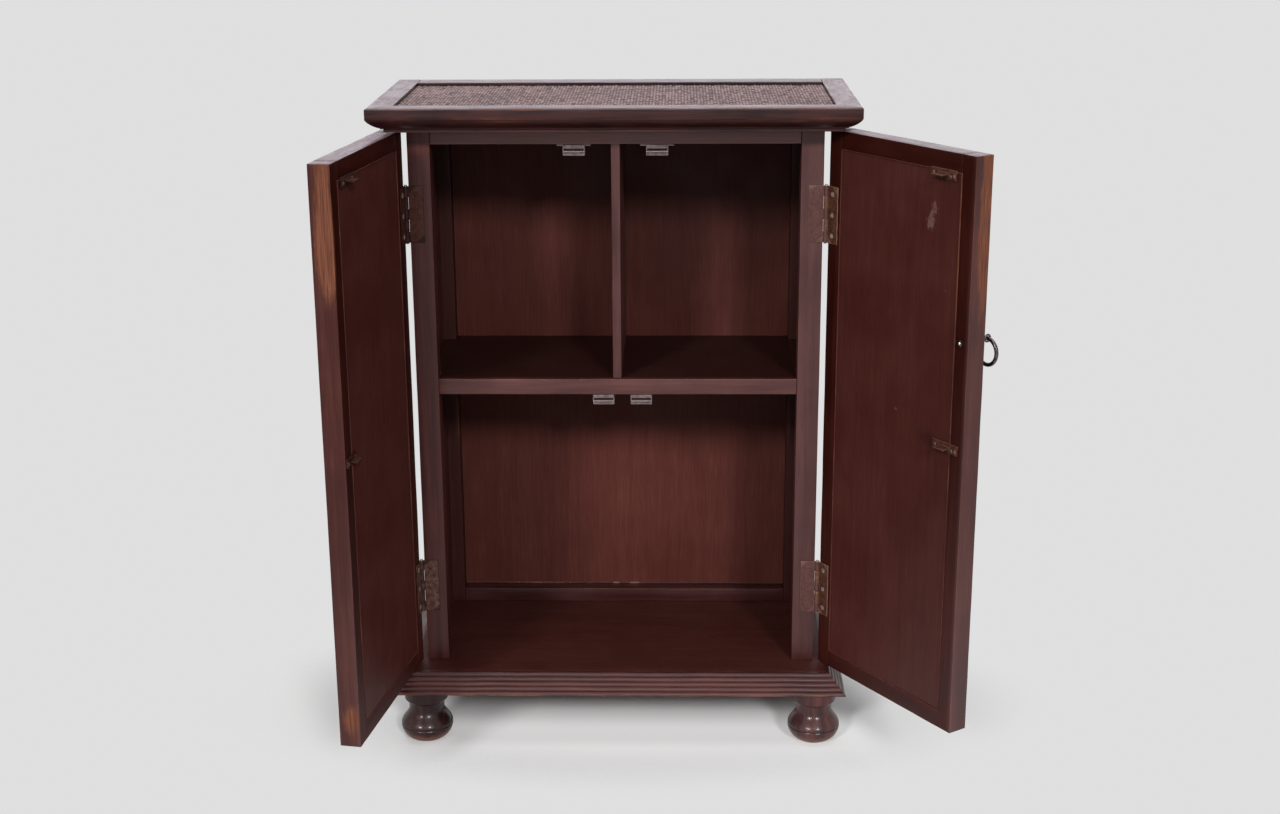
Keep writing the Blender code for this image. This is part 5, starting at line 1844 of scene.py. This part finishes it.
        # Between corners one sign stays and the other changes evenly. Only the constant one counts.
        flat = np.where(np.abs(np.abs(path[:, 2:]) - 1) < 1e-9, path[:, 2:], 0.0)
        x, z = (path[:, i, None] + flat[:, i, None] * out[None] for i in (0, 1))
        y = np.broadcast_to(face + rise[None], x.shape)
        points = np.stack([x, y, z], axis=-1).reshape(-1, 3)
        skin = Skin(points, grid_faces(len(path), len(out), True, True), points + 0.37,
                    {Mark.WORN: 0.30 + 0.12 * ripple(points, 0.05, 9),
                     Mark.ARRIS: np.full(len(points), 0.0004)})
        if self.side is Side.RIGHT:
            skin = skin.patched((Patch((left, face, 0.74), (0.02, 0.02, 0.12), 0.35),))
        make(f"{self.body}_panel_bead", skin.placed(self.place), PANEL_STAIN, self.body)

    def dress(self) -> None:
        """Make the whole door."""
        for board in self.boards():
            board.dress(self.body, self.place)
        self.bead_ring()
        for row in ("upper", "lower"):
            Hinge(row, self.side, self.place).dress()
            Strike(row, self.side, self.place).dress()
        if self.side is Side.RIGHT:
            RingPull(self.place).dress()


@dataclass
class Studio:
    """The pale floor, the soft lamps and the camera."""

    camera: Triple = (0.3549, -2.3598, 1.2096)
    pitch: float = 17.007       # degrees down
    yaw: float = 1.238          # degrees to the left
    roll: float = 0.325
    focal: float = 1840.03      # pixels, on a picture 1280 pixels wide
    picture: float = 1280.0
    sensor: float = 36.0
    backdrop: float = 0.742     # brightness of the surround where it is seen
    ambient: float = 0.19       # brightness with which it lights

    def set_camera(self) -> None:
        """Put the camera where the photograph was taken from."""
        pitch, yaw, roll = (math.radians(angle) for angle in (self.pitch, self.yaw, self.roll))
        flat = math.cos(pitch)
        ahead = Vector((-math.sin(yaw) * flat, math.cos(yaw) * flat, -math.sin(pitch)))
        level = Vector((math.cos(yaw), math.sin(yaw), 0.0))
        down = ahead.cross(level)
        right = math.cos(roll) * level + math.sin(roll) * down
        up = math.sin(roll) * level - math.cos(roll) * down
        data = bpy.data.cameras.new("camera")
        data.sensor_width = self.sensor
        data.lens = self.focal / self.picture * self.sensor
        data.clip_end = 60.0
        camera = bpy.data.objects.new("camera", data)
        axes = Matrix((right, up, -ahead)).transposed()
        camera.matrix_world = Matrix.Translation(self.camera) @ axes.to_4x4()
        bpy.context.scene.collection.objects.link(camera)
        bpy.context.scene.camera = camera

    def set_floor(self) -> None:
        """A level floor, wide enough for its paint to give way to the surround."""
        across, ahead = np.linspace(-1.5, 2.0, 8), np.linspace(-1.7, 1.8, 8)
        x, y = np.meshgrid(across, ahead, indexing="ij")
        mesh = bpy.data.meshes.new("studio_floor")
        mesh.from_pydata(np.stack([x, y, np.zeros_like(x)], axis=-1).reshape(-1, 3).tolist(), [],
                         grid_faces(len(across), len(ahead)))
        mesh.materials.append(FloorPaint("floor_paint").material())
        floor = bpy.data.objects.new("studio_floor", mesh)
        bpy.context.scene.collection.objects.link(floor)

    def lamp(self, name: str, bearing: float, elevation: float, strength: float,
             width: float) -> None:
        """Add a far soft lamp.

        Args:
            name: its name.
            bearing: degrees to the right of straight before the cabinet.
            elevation: degrees above the floor.
            strength: light on a surface that faces it.
            width: degrees that it spans, seen from the cabinet.
        """
        data = bpy.data.lights.new(name, "SUN")
        data.energy = strength
        data.angle = math.radians(width)
        turn, rise = math.radians(bearing), math.radians(elevation)
        level = math.cos(rise)
        towards = Vector((math.sin(turn) * level, -math.cos(turn) * level, math.sin(rise)))
        item = bpy.data.objects.new(name, data)
        item.location = towards * 4.0
        item.rotation_euler = towards.to_track_quat("Z", "Y").to_euler()
        bpy.context.scene.collection.objects.link(item)

    def set_surround(self) -> None:
        """A pale surround that is seen, and mirrored in varnish, brighter than it lights."""
        world = bpy.data.worlds.new("surround")
        bpy.context.scene.world = world
        world.use_nodes = True
        tree = world.node_tree
        lighting = tree.nodes["Background"]
        lighting.inputs["Color"].default_value = (1.0, 1.0, 1.0, 1.0)
        lighting.inputs["Strength"].default_value = self.ambient
        seen = tree.nodes.new("ShaderNodeBackground")
        seen.inputs["Color"].default_value = (self.backdrop, self.backdrop, self.backdrop, 1.0)
        path = tree.nodes.new("ShaderNodeLightPath")
        shows = path.outputs["Is Camera Ray"]
        for kind in ("Is Glossy Ray", "Is Transmission Ray"):
            either = tree.nodes.new("ShaderNodeMath")
            either.operation = "MAXIMUM"
            tree.links.new(shows, either.inputs[0])
            tree.links.new(path.outputs[kind], either.inputs[1])
            shows = either.outputs[0]
        choice = tree.nodes.new("ShaderNodeMixShader")
        for socket, end in zip((shows, lighting.outputs[0], seen.outputs[0]), choice.inputs):
            tree.links.new(socket, end)
        tree.links.new(choice.outputs[0], tree.nodes["World Output"].inputs["Surface"])

    def set_light(self) -> None:
        """Two soft lamps before the cabinet, one at each side, and one overhead."""
        self.set_surround()
        self.lamp("right_lamp", 18.0, 28.0, 1.42, 9.0)
        self.lamp("left_lamp", -27.0, 28.0, 1.42, 9.0)
        self.lamp("overhead_lamp", 180.0, 88.0, 1.15, 48.0)

    def dress(self) -> None:
        """Set up the whole studio."""
        self.set_camera()
        self.set_floor()
        self.set_light()
        bpy.context.scene.view_settings.view_transform = "Standard"


def main() -> None:
    """Build the studio and every sub-assembly in order."""
    logging.basicConfig(level=logging.INFO, format="%(name)s: %(message)s")
    Studio().dress()
    Carcase().dress()
    Base().dress()
    Top().dress()
    for node in ("catch_upper_left", "catch_upper_right", "catch_lower_left", "catch_lower_right"):
        Catch(node).dress()
    Door(Side.LEFT, 99.5).dress()
    Door(Side.RIGHT, 124.5).dress()


if __name__ == "__main__":
    main()
